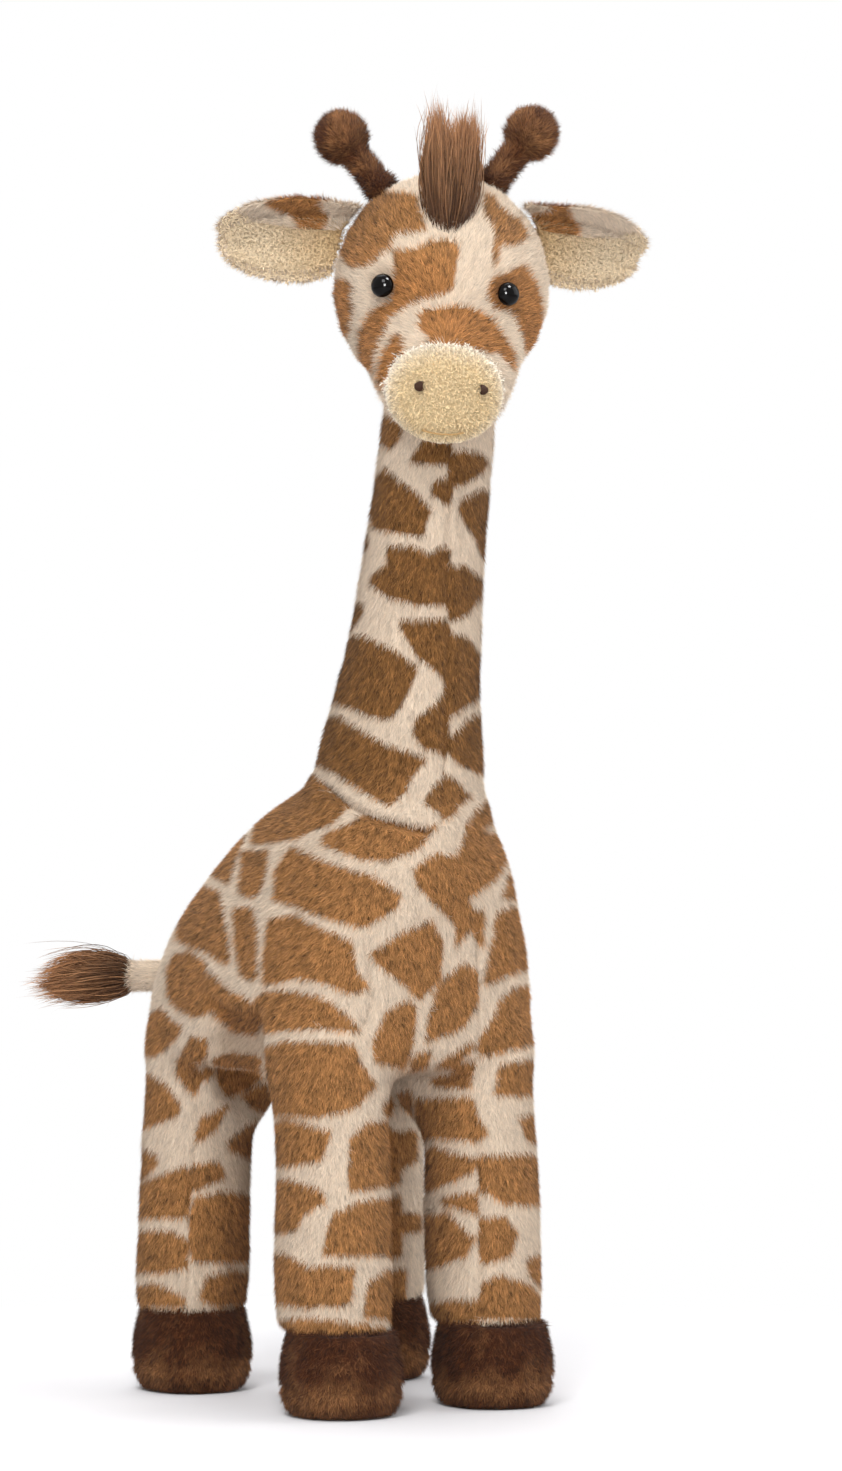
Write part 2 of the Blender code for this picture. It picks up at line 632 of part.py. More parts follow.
def fit_horn(side, side_sign, outer, cover, filling):
    """A horn: a stem with a round head, on a root ball sewn into the head."""
    start = HEAD_CENTRE + Vector((HORN_SHIFT_X + side_sign * HORN_X, 0, HEAD_HALF_HEIGHT * 2))
    place, _ = surface_point(outer, start, (0, 0, -1))
    angle = side_sign * HORN_SPLAY - HORN_LEAN
    direction = Vector((math.sin(angle), 0, math.cos(angle)))
    pivot = place + direction * HORN_STAND_OFF
    horn_axis = axis_empty("horn_" + side + "_bend_axis", HEAD_AXIS, pivot, turn_to(direction))
    profile = []
    arc_steps = 6
    neck_angle = math.asin(HORN_STEM_RADIUS / HORN_BULB_RADIUS)
    for step in range(arc_steps + 1):
        angle = (math.pi - neck_angle) * step / arc_steps
        profile.append((
            HORN_BULB_RADIUS * math.sin(angle), HORN_LENGTH + HORN_BULB_RADIUS * math.cos(angle)))
    profile.append((HORN_STEM_RADIUS, HORN_LENGTH / 3))
    root_steps = 4
    root_angle = math.asin(HORN_STEM_RADIUS / HORN_ROOT_RADIUS)
    for step in range(root_steps + 1):
        angle = root_angle + (math.pi - root_angle) * step / root_steps
        profile.append((HORN_ROOT_RADIUS * math.sin(angle), HORN_ROOT_RADIUS * math.cos(angle)))
    profile[0] = (0, HORN_LENGTH + HORN_BULB_RADIUS)
    profile[-1] = (0, -HORN_ROOT_RADIUS)
    turned("horn_" + side, horn_axis, profile, HOOF_PLUSH, (0, 0, 0), (0, 0, 0))
    seat = ball("horn_seat_" + side, horn_axis, (0, 0, 0), socket_radius(HORN_ROOT_RADIUS, 16), 16)
    cut(cover, seat)
    cut(filling, seat)


def ear_patch(name, rows, columns, side_sign):
    """A cupped leaf: X along the ear, Y across it, Z out of its hollow side."""
    shape = bmesh.new()
    grid = []
    for way, width in rows:
        line = []
        for across in columns:
            lift = EAR_CUP * (across * across - EAR_FLAT_SHARE) * width
            line.append(shape.verts.new(
                (way * EAR_LENGTH, side_sign * across * width * EAR_HALF_WIDTH, lift)))
        grid.append(line)
    for lower, upper in zip(grid, grid[1:]):
        for step in range(len(columns) - 1):
            shape.faces.new((lower[step], upper[step], upper[step + 1], lower[step + 1]))
    bmesh.ops.recalc_face_normals(shape, faces=shape.faces[:])
    if shape.faces[0].normal.z < 0:
        bmesh.ops.reverse_faces(shape, faces=shape.faces[:])
    mesh = bpy.data.meshes.new(name)
    shape.to_mesh(mesh)
    shape.free()
    mesh.shade_smooth()
    return mesh


def fit_ear(side, side_sign, outer):
    """An ear: a plush outer leaf, its upper edge bare, with a curly lining in its hollow side."""
    rise = EAR_RISE + side_sign * EAR_UNEVENNESS
    start = (HEAD_CENTRE.x + side_sign * HEAD_HALF_WIDTH * 2, HEAD_CENTRE.y, HEAD_CENTRE.z + rise)
    place, _ = surface_point(outer, start, (-side_sign, 0, 0))
    sweep = EAR_SWEEP_BACK + side_sign * EAR_SWEEP_UNEVENNESS
    along = Vector((side_sign * math.cos(sweep), math.sin(sweep), 0))
    along = (along - Vector((0, 0, math.tan(EAR_DROOP)))).normalized()
    hollow = Vector((0, -math.cos(EAR_FACE), -math.sin(EAR_FACE)))
    across = hollow.cross(along).normalized()
    hollow = along.cross(across)
    turn = Matrix((along, across, hollow)).transposed().to_euler()
    ear_axis = axis_empty("ear_" + side + "_flap_axis", HEAD_AXIS, place, turn)
    leaf = ear_patch("ear_outer_" + side, EAR_SHARES, EAR_ACROSS_SHARES, side_sign)
    leaf = place_object("ear_outer_" + side, leaf, ear_axis, PLUSH)
    thicken(leaf, EAR_CLOTH, -1)
    lining = ear_patch("ear_lining_" + side, EAR_SHARES[:-1], EAR_ACROSS_SHARES[1:-2], side_sign)
    lining = place_object("ear_lining_" + side, lining, ear_axis, CURLY_PLUSH, (0, 0, CLEARANCE))
    thicken(lining, EAR_LINING_CLOTH, 1)
    seat = head_shape("ear_seat_" + side, -EAR_STAND_OFF)
    cut(leaf, seat)
    cut(lining, seat)


def thicken(piece, thickness, offset):
    solid = piece.modifiers.new("cloth", "SOLIDIFY")
    solid.thickness = thickness
    solid.offset = offset


def stitch_face(muzzle_outer, muzzle_cover):
    """Two nostril knots and the mouth's line of thread on the muzzle."""
    face = MUZZLE_TURN @ Vector((0, 0, 1))
    up = MUZZLE_TURN @ Vector((0, 1, 0))
    far = MUZZLE_CENTRE + face * MUZZLE_DEPTH * 2
    for side_sign, side in ((1, "left"), (-1, "right")):
        across = NOSTRIL_SHIFT_X + side_sign * NOSTRIL_X
        start = far + Vector((across, 0, 0)) + up * NOSTRIL_RISE
        place, normal = surface_point(muzzle_outer, start, -face)
        knot_steps = 4
        profile = []
        for step in range(knot_steps + 1):
            angle = math.pi * step / knot_steps
            profile.append((NOSTRIL_RADIUS * math.sin(angle), NOSTRIL_RADIUS * math.cos(angle)))
        profile[0] = (0, NOSTRIL_RADIUS)
        profile[-1] = (0, -NOSTRIL_RADIUS)
        turned("nostril_stitch_" + side, HEAD_AXIS, profile, THREAD, place, turn_to(normal), 8)
        cut(muzzle_cover, ball(
            "nostril_dimple_" + side, HEAD_AXIS, place, socket_radius(NOSTRIL_RADIUS, 10), 10))
    line = bpy.data.curves.new("mouth_stitch", "CURVE")
    line.dimensions = "3D"
    line.bevel_depth = THREAD_RADIUS
    line.bevel_resolution = 1
    line.use_fill_caps = True
    spline = line.splines.new("POLY")
    mouth_shares = (-1, -0.67, -0.33, 0, 0.33, 0.67, 1)
    spline.points.add(len(mouth_shares) - 1)
    for point, across in zip(spline.points, mouth_shares):
        drop = MOUTH_DROP + MOUTH_SAG * (1 - across * across)
        start = far + Vector((across * MOUTH_HALF_WIDTH, 0, 0)) - up * drop
        place, normal = surface_point(muzzle_outer, start, -face)
        point.co = (*(place + normal * (THREAD_RADIUS + 2 * CLEARANCE)), 1)
    place_object("mouth_stitch", line, HEAD_AXIS, THREAD)


def plant_forelock(outer):
    """The forelock: a tuft that stands on the forehead and leans back over the crown."""
    start = (HEAD_CENTRE.x + FORELOCK_SHIFT_X, -HEAD_HALF_DEPTH * 2, HEAD_CENTRE.z + FORELOCK_RISE)
    root, _ = surface_point(outer, start, (0, 1, 0))
    root.y -= FORELOCK_HALF_DEPTH * FORELOCK_ROOT_SHARE
    rows = []
    for way, width in FORELOCK_SHARES:
        centre = root + Vector((0, way * FORELOCK_LEAN, way * FORELOCK_HEIGHT))
        rows.append((
            centre, width * FORELOCK_HALF_WIDTH, width * FORELOCK_HALF_DEPTH, 2.2, 0, Matrix.Identity(3)))
    forelock = form("forelock", HEAD_AXIS, rows, 7, 0, LONG_PILE, (True, False))
    cut(forelock, head_shape("forelock_seat", -CLEARANCE))


def tail(tail_axis):
    """The tail's stem on its root ball, and the tuft on its end."""
    along = Matrix.Rotation(-math.pi / 2, 3, "X")

    def tail_form(name, shares, start, length, radius, material, sharp_ends=(True, True)):
        rows = []
        for way, girth in shares:
            size = girth * radius
            rows.append((Vector((0, start + way * length, 0)), size, size, 2, 0, along))
        return form(name, tail_axis, rows, 6, 0, material, sharp_ends)

    stem = tail_form("tail_stem", TAIL_SHARES, 0, TAIL_LENGTH, TAIL_RADIUS, PLUSH)
    join(stem, ball("tail_root", tail_axis, (0, 0, 0), TAIL_RADIUS, 12))
    tail_form(
        "tail_tuft", TUFT_SHARES, TAIL_LENGTH + CLEARANCE, TUFT_LENGTH, TUFT_RADIUS, LONG_PILE,
        (True, False))


def stand_on_origin():
    """Move the stand so that the middle of the part's base lies at the origin."""
    graph = bpy.context.evaluated_depsgraph_get()
    points = []
    for piece in PARTS.objects:
        shown = piece.evaluated_get(graph)
        mesh = shown.to_mesh()
        points += [shown.matrix_world @ vertex.co for vertex in mesh.vertices]
        shown.to_mesh_clear()
    for axis in (0, 1):
        values = [point[axis] for point in points]
        STAND.location[axis] = -(min(values) + max(values)) / 2
    STAND.location.z = -min(point.z for point in points)


tail(torso())
for leg_name, leg_axis in LEGS.items():
    outward = 1 if leg_name.endswith("left") else -1
    if leg_name.startswith("front"):
        leg(leg_name, leg_axis, (outward * FRONT_CUFF_SHIFT_X, FRONT_CUFF_SHIFT_Y), FRONT_HOOF_SHIFT_Y)
    else:
        leg(leg_name, leg_axis, (outward * REAR_CUFF_SHIFT_X, REAR_CUFF_SHIFT_Y), REAR_HOOF_SHIFT_Y)
neck()
head()
stand_on_origin()
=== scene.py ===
import contextlib
import json
import math

import bmesh
import bpy
import numpy as np
from mathutils import Matrix, Vector, noise
from mathutils.bvhtree import BVHTree


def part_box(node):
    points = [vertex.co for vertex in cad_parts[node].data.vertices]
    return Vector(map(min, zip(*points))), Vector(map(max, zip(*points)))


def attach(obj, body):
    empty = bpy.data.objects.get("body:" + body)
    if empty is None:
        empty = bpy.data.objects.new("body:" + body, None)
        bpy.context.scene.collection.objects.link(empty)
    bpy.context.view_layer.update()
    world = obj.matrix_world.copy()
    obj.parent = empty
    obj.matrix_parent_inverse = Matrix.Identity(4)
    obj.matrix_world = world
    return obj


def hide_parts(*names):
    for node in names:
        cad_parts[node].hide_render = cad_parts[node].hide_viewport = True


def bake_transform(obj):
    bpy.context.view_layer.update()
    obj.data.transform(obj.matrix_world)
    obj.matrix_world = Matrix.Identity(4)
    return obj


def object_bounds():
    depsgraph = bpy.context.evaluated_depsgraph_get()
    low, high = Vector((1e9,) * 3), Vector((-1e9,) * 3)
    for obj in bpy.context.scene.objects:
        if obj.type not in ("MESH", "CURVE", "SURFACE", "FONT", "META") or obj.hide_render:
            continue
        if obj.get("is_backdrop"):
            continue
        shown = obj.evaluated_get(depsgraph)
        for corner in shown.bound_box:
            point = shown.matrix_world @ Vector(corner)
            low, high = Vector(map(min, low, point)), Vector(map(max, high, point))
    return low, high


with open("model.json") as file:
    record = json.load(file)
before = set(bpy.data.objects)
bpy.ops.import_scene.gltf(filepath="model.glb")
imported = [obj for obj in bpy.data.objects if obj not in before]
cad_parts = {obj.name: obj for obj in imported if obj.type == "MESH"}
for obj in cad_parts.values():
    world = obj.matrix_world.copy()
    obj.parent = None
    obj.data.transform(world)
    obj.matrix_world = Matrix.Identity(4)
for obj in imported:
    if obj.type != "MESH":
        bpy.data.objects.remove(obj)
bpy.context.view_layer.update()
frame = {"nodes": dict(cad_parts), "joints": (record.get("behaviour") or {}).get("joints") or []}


# Camera. A long lens a little below the middle of the giraffe, about a twelfth of a turn round to
# its right side and tipped up very slightly, so that the head sits high in the picture.
scene = bpy.context.scene
joints = {joint["name"]: joint for joint in frame["joints"]}
picture_width, picture_height = 842, 1471  # pixels
sensor, lens = 36, 110.1  # millimetres
camera_turn, camera_pitch = math.radians(31), math.radians(1.7)
camera_distance, camera_offset, camera_height = 1.95, 0.033, 0.227
ahead_of_neck = 0.041
neck_foot = Vector(joints["neck_base_bend"]["pos_m"])
level = Vector((math.sin(camera_turn), math.cos(camera_turn), 0))
aside = Vector((math.cos(camera_turn), -math.sin(camera_turn), 0))
forward = level * math.cos(camera_pitch) + Vector((0, 0, math.sin(camera_pitch)))
upward = Vector((0, 0, math.cos(camera_pitch))) - level * math.sin(camera_pitch)
stand = Vector((neck_foot.x, neck_foot.y + ahead_of_neck, 0))
camera_place = stand - level * camera_distance + aside * camera_offset + Vector((0, 0, camera_height))
camera_axes = Matrix((aside, upward, -forward)).transposed().to_4x4()
camera_data = bpy.data.cameras.new("camera")
camera_data.sensor_width = sensor
camera_data.lens = lens
camera = bpy.data.objects.new("camera", camera_data)
camera.matrix_world = Matrix.Translation(camera_place) @ camera_axes
scene.collection.objects.link(camera)
scene.camera = camera


# Body. Torso, neck and legs are one cover of printed plush, sewn from panels face to face, turned
# and stuffed tight with polyester fibre. Here it is one closed skin with its pile on it, cut where
# each joint has yet to bend it or has bent it fully, so that every piece turns about one joint.
def dye(text):
    """An sRGB hex colour as the linear colour that a shader takes."""
    parts = [int(text[step:step + 2], 16) / 255 for step in (1, 3, 5)]
    return tuple(c / 12.92 if c <= 0.04045 else ((c + 0.055) / 1.055) ** 2.4 for c in parts) + (1.0,)


def add_node(tree, kind, settings=None, **links):
    """A node with its settings; a link's name is the input's, and its value a socket or number."""
    node = tree.nodes.new("ShaderNode" + kind)
    for name, value in (settings or {}).items():
        setattr(node, name, value)
    for name, value in links.items():
        socket = node.inputs[int(name[1:])] if name[0] == "_" else node.inputs[name.replace("_", " ")]
        if isinstance(value, bpy.types.NodeSocket):
            tree.links.new(value, socket)
        else:
            socket.default_value = value
    return node


def new_finish(name, roughness, sheen=0.0, specular=0.08):
    """A finish; cloth keeps the low specular, since its hairs scatter light and hardly mirror it."""
    finish = bpy.data.materials.new(name)
    finish.use_nodes = True
    shader = finish.node_tree.nodes["Principled BSDF"]
    shader.inputs["Roughness"].default_value = roughness
    shader.inputs["Sheen Weight"].default_value = sheen
    shader.inputs["Sheen Roughness"].default_value = 0.5
    shader.inputs["Specular IOR Level"].default_value = specular
    return finish, finish.node_tree, shader


def per_metre(millimetres):
    """The scale of a noise, to the nearest ten, from the real size of what it draws."""
    return round(1000 / millimetres, -1)


# Painted shade: the pile's colour is multiplied by this where a skin stores full shade.
painted_shade_tint = (0.36, 0.25, 0.17)  # what is left of red, green and blue


def pile_tone(tree, colour, spread=0.4, root=0.62, end=1.22):
    """A dye on pile: painted shade at a hair's root and a painted highlight at its tip, lighter or
    darker by the hair's own tone, mottled at 2.4 mm as hairs lean together, and dim and warm in painted
    shade."""
    tip = add_node(tree, "Attribute", {"attribute_name": "tip"}).outputs["Fac"]
    tone = add_node(tree, "Attribute", {"attribute_name": "tone"}).outputs["Fac"]
    shade = add_node(tree, "Attribute", {"attribute_name": "shade"}).outputs["Fac"]
    mottle = add_node(tree, "TexNoise", Scale=per_metre(2.4), Detail=4.0).outputs["Fac"]
    strength = add_node(tree, "MapRange", Value=tip, To_Min=root, To_Max=end).outputs["Result"]
    vary = add_node(tree, "MapRange", Value=tone, To_Min=1 - spread, To_Max=1 + spread).outputs["Result"]
    patchy = add_node(
        tree, "MapRange", Value=mottle, From_Min=0.25, From_Max=0.75,
        To_Min=1 - spread / 2, To_Max=1 + spread / 2).outputs["Result"]
    for factor in (vary, patchy):
        strength = add_node(tree, "Math", {"operation": "MULTIPLY"}, _0=strength, _1=factor).outputs[0]
    lit = add_node(tree, "VectorMath", {"operation": "SCALE"}, _0=colour, _3=strength).outputs[0]
    dim = add_node(tree, "VectorMath", {"operation": "MULTIPLY"}, _0=lit, _1=painted_shade_tint).outputs[0]
    return add_node(tree, "Mix", {"data_type": "RGBA"}, _0=shade, _6=lit, _7=dim).outputs[2]


def pile_bump(tree, shader, grain_width):
    """Fine hair grain, 0.4 mm deep, in the shading of the cloth."""
    grain = add_node(tree, "TexNoise", Scale=per_metre(grain_width), Detail=4.0).outputs["Fac"]
    bump = add_node(tree, "Bump", Height=grain, Strength=0.5, Distance=0.0004)
    tree.links.new(bump.outputs["Normal"], shader.inputs["Normal"])


# Polyester plush: a knitted back with a sheared pile, printed through. It is matt with a faint
# sheen, and the print's edges break up over 1.1 mm as they follow the hairs. Its brown runs from
# dark on the neck to orange on the head.
plush, tree, shader = new_finish("patterned_polyester_plush", 0.85, 0.06)
edge = add_node(tree, "Attribute", {"attribute_name": "patch_edge"}).outputs["Fac"]
hairs = add_node(tree, "TexNoise", Scale=per_metre(1.11), Detail=2.0).outputs["Fac"]
jitter = add_node(tree, "MapRange", Value=hairs, To_Min=-0.6, To_Max=0.6).outputs["Result"]
broken_edge = add_node(tree, "Math", {"operation": "ADD"}, _0=edge, _1=jitter).outputs[0]
printed = add_node(
    tree, "MapRange", {"interpolation_type": "SMOOTHSTEP"}, Value=broken_edge, From_Min=-0.9, From_Max=0.9)
warmth = add_node(tree, "Attribute", {"attribute_name": "warmth"}).outputs["Fac"]
browns = add_node(tree, "ValToRGB", Fac=warmth)
browns.color_ramp.elements[0].color = dye("#865c31")
browns.color_ramp.elements[1].color = dye("#b27a46")
browns.color_ramp.elements.new(0.5).color = dye("#ac7a49")
cream = pile_tone(tree, dye("#ebd7bf")[:3], 0.19, 0.76, 1.14)
brown = pile_tone(tree, browns.outputs["Color"], 0.75)
dyed = add_node(tree, "Mix", {"data_type": "RGBA"}, _0=printed.outputs["Result"], _6=cream, _7=brown)
tree.links.new(dyed.outputs[2], shader.inputs["Base Color"])
pile_bump(tree, shader, 0.714)


# The sewn skin: one closed surface over the CAD solids of the covers and their filling, eased as
# stuffing rounds a seam, and set in so that the pile reaches the real outline.
def cad_mesh(node):
    return frame["nodes"][node].data


def points_of(mesh, name="co"):
    values = np.empty(len(mesh.vertices) * 3)
    mesh.vertices.foreach_get(name, values)
    return values.reshape(-1, 3)


def normals_of(mesh):
    return points_of(mesh, "normal")


def move_points(mesh, points):
    mesh.vertices.foreach_set("co", points.ravel())
    mesh.update()


def noise_at(points, swells):
    """Soft noise at each point, with so many swells to the metre."""
    return np.array([noise.noise(Vector(point) * swells) for point in points])


@contextlib.contextmanager
def shaping(mesh):
    """A mesh opened for shaping; the result goes back into it."""
    shape = bmesh.new()
    shape.from_mesh(mesh)
    yield shape
    shape.to_mesh(mesh)
    shape.free()


def keep_largest_shell(mesh):
    """Drop whatever closed pockets a remesh leaves inside."""
    with shaping(mesh) as shape:
        shell = [-1] * len(shape.verts)
        sizes = []
        for start in shape.verts:
            if shell[start.index] >= 0:
                continue
            shell[start.index] = len(sizes)
            waiting, size = [start], 0
            while waiting:
                vertex = waiting.pop()
                size += 1
                for side in vertex.link_edges:
                    other = side.other_vert(vertex)
                    if shell[other.index] < 0:
                        shell[other.index] = len(sizes)
                        waiting.append(other)
            sizes.append(size)
        largest = sizes.index(max(sizes))
        pockets = [vertex for vertex in shape.verts if shell[vertex.index] != largest]
        bmesh.ops.delete(shape, geom=pockets, context="VERTS")


def cloth_over(name, nodes, voxel, smoothing, inset, lumps=0.0, swells=()):
    """A closed skin over CAD solids, eased and set in, with soft lumps of stuffing 26 and 11 mm
    apart. A swell is a place and a radius where the stuffing rounds the cloth out."""
    mesh = bpy.data.meshes.new(name)
    with shaping(mesh) as shape:
        for place, radius in swells:
            bmesh.ops.create_icosphere(shape, subdivisions=3, radius=radius, matrix=Matrix.Translation(place))
        for node in nodes:
            shape.from_mesh(cad_mesh(node))
        bmesh.ops.remove_doubles(shape, verts=shape.verts, dist=1e-6)
    solid = bpy.data.objects.new(name, mesh)
    scene.collection.objects.link(solid)
    remesh = solid.modifiers.new("remesh", "REMESH")
    remesh.mode = "VOXEL"
    remesh.voxel_size = voxel
    ease = solid.modifiers.new("ease", "SMOOTH")
    ease.iterations = smoothing
    skin = bpy.data.meshes.new_from_object(solid.evaluated_get(bpy.context.evaluated_depsgraph_get()))
    bpy.data.objects.remove(solid)
    skin.materials.clear()
    keep_largest_shell(skin)
    points = points_of(skin)
    height = noise_at(points, 38) + 0.5 * noise_at(points, 90)
    move_points(skin, points + normals_of(skin) * (height[:, None] * lumps - inset))
    skin.shade_smooth()
    return skin


def store(mesh, **values):
    """Keep a number a vertex under each name, for the materials."""
    for name, value in values.items():
        layer = mesh.attributes.get(name) or mesh.attributes.new(name, "FLOAT", "POINT")
        layer.data.foreach_set("value", np.broadcast_to(value, len(mesh.vertices)).astype(np.float32))


def read(mesh, name):
    values = np.zeros(len(mesh.vertices), np.float32)
    if name in mesh.attributes:
        mesh.attributes[name].data.foreach_get("value", values)
    return values.astype(float)


def part_of(name, skin, wanted):
    """The faces of a skin whose middles are wanted, with the whole skin's shading kept."""
    mesh = skin.copy()
    mesh.name = name
    middles = np.empty(len(mesh.polygons) * 3)
    mesh.polygons.foreach_get("center", middles)
    keep = wanted(middles.reshape(-1, 3))
    with shaping(mesh) as shape:
        spare = [face for face, kept in zip(shape.faces, keep) if not kept]
        bmesh.ops.delete(shape, geom=spare, context="FACES")
    return mesh


def new_piece(name, mesh, material, body, stands_for=()):
    """A piece of the toy that rides on a body; given two bodies and a bend, it is left where it is."""
    mesh.name = name
    mesh.materials.append(material)
    piece = bpy.data.objects.new(name, mesh)
    scene.collection.objects.link(piece)
    if isinstance(body, str):
        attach(piece, body)
    else:
        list(body)
        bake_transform(piece)
    if stands_for:
        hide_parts(*stands_for)
    return piece


# The pile: tapered blades, rooted on a skin and combed along its nap. A real hair is finer than
# the render can show, so a blade is 0.34 mm wide and stands for a few hairs that cling together.
density = 1.0
root_depth = floor_clear = 0.0003
colour_cells = 16  # to a side of the baked map
noise.seed_set(1)  # the nap's swirls would otherwise start from the clock


def unit(vectors):
    return vectors / np.maximum(np.linalg.norm(vectors, axis=-1, keepdims=True), 1e-9)


def roots_on(mesh, count, seed):
    """Places spread evenly over a mesh, as a function that reads any value there."""
    mesh.calc_loop_triangles()
    corners = np.empty(len(mesh.loop_triangles) * 3, np.int32)
    mesh.loop_triangles.foreach_get("vertices", corners)
    corners = corners.reshape(-1, 3)
    points = points_of(mesh)
    a, b, c = points[corners[:, 0]], points[corners[:, 1]], points[corners[:, 2]]
    area = np.cumsum(np.linalg.norm(np.cross(b - a, c - a), axis=1))
    chance = np.random.default_rng(seed)
    picked = np.searchsorted(area / area[-1], (np.arange(count) + chance.random(count)) / count)
    picked = corners[np.minimum(picked, len(corners) - 1)]
    reach, turn = np.sqrt(chance.random(count)), chance.random(count)
    share = np.stack((1 - reach, reach * (1 - turn), reach * turn), 1)

    def value_at(values):
        if values.ndim == 1:
            return (values[picked] * share).sum(1)
        return (values[picked] * share[..., None]).sum(1)

    return value_at, chance


def only(wanted, points, normals, values):
    """The roots that are wanted, with their values."""
    if wanted is None:
        return points, normals, values
    kept = wanted(points, normals)
    return points[kept], normals[kept], {key: value[kept] for key, value in values.items()}


def combed(normals, nap, chance, stray):
    """The nap laid into the surface at each root, with strays."""
    nap = nap + chance.normal(0, stray, nap.shape)
    return unit(nap - (nap * normals).sum(1)[:, None] * normals)


def hair_mesh(name, lines, sides, widths, shading, values):
    """Tapered blades along lines of points, each a strip that ends in one tip. Blades of about one
    colour share a small cell of the baked colour map."""
    count, steps = lines.shape[:2]
    across = sides[:, None] * widths[None, :-1, None] / 2
    left, right = lines[:, :-1] - across, lines[:, :-1] + across
    strip = np.stack((left, right), 2).reshape(count, -1, 3)
    points = np.concatenate((strip, lines[:, -1:]), 1)
    size = points.shape[1]
    pattern = []
    for step in range(0, size - 3, 2):
        pattern += [(step, step + 1, step + 3), (step, step + 3, step + 2)]
    pattern.append((size - 3, size - 2, size - 1))
    first = np.arange(count)[:, None] * size
    faces = (first[:, :, None] + np.array(pattern)[None]).reshape(-1, 3)
    mesh = bpy.data.meshes.new(name)
    mesh.from_pydata(points.reshape(-1, 3), [], faces)
    tip = np.append(np.repeat(np.linspace(0, 1, steps)[:-1], 2), 1)
    store(mesh, tip=np.tile(tip, count), **{key: np.repeat(value, size) for key, value in values.items()})
    print_key = np.clip(values.get("patch_edge", np.zeros(count)), -1.5, 1.5) * 4
    order = np.argsort(np.argsort(print_key + values["warmth"] * 2 + values["tone"] * 0.7))
    cell = order * colour_cells * colour_cells // count
    u = (cell % colour_cells)[:, None] + np.append(np.tile((0.15, 0.85), steps - 1), 0.5)[None]
    v = (cell // colour_cells)[:, None] + 0.12 + 0.76 * tip[None]
    spots = np.stack((u, v), 2).reshape(-1, 2) / colour_cells
    mesh.uv_layers.new(name="OFBake").data.foreach_set("uv", spots[faces.ravel()].ravel())
    if shading is not None:
        mesh.shade_smooth()
        mesh.normals_split_custom_set_from_vertices(np.repeat(shading, size, 0))
    return mesh


def short_pile(name, skin, count, seed, nap, length, width, lift, stray=0.3, wanted=None):
    """Combed hairs over a skin: nap(points, normals) gives the way they lie. They lean together in
    tufts of 1.2 mm and swirl over 3 mm, and a hair is 0.7 to 1.3 times the length."""
    count = int(count * density)
    value_at, chance = roots_on(skin, count, seed)
    points, normals = value_at(points_of(skin)), unit(value_at(normals_of(skin)))
    values = {key: value_at(read(skin, key)) for key in ("patch_edge", "warmth", "shade")}
    tufts = noise_at(points, 850)
    values["tone"] = np.clip(0.5 + tufts * 1.1 + chance.uniform(-0.25, 0.25, count), 0, 1)
    values["warmth"] = np.clip(values["warmth"] + tufts * 0.2, 0, 1)
    points, normals, values = only(wanted, points, normals, values)
    total = len(points)
    swirl = np.array([noise.noise_vector(Vector(point) * 330) for point in points]) * 0.4
    lie = combed(normals, nap(points, normals) + swirl, chance, stray)
    rise = math.sin(lift) * (0.7 + 0.6 * chance.random(total))[:, None]
    long = (length * (0.7 + 0.6 * chance.random(total)))[:, None]
    root = points - normals * root_depth
    end = root + (lie * 0.97 + normals * rise) * long
    end[:, 2] = np.maximum(end[:, 2], floor_clear)
    sides = unit(np.cross(lie, normals) + normals * chance.normal(0, 0.35, total)[:, None])
    shading = unit(normals + lie * 0.25 + chance.normal(0, 0.26, (total, 3)))
    return hair_mesh(name, np.stack((root, end), 1), sides, np.array((width, 0)), shading, values)


def clothed(
        name, skin, body, slot, count, seed, stands_for, fill, nap, length, width, lift, material, **pile):
    """The skin of a stuffed part and its pile, as two pieces that move together."""
    new_piece(name, skin, material, body, stands_for)
    pile_name = name + "_pile"
    hairs = short_pile(pile_name, skin, count, seed, nap, length, width, lift, **pile)
    new_piece(pile_name, hairs, material, body)
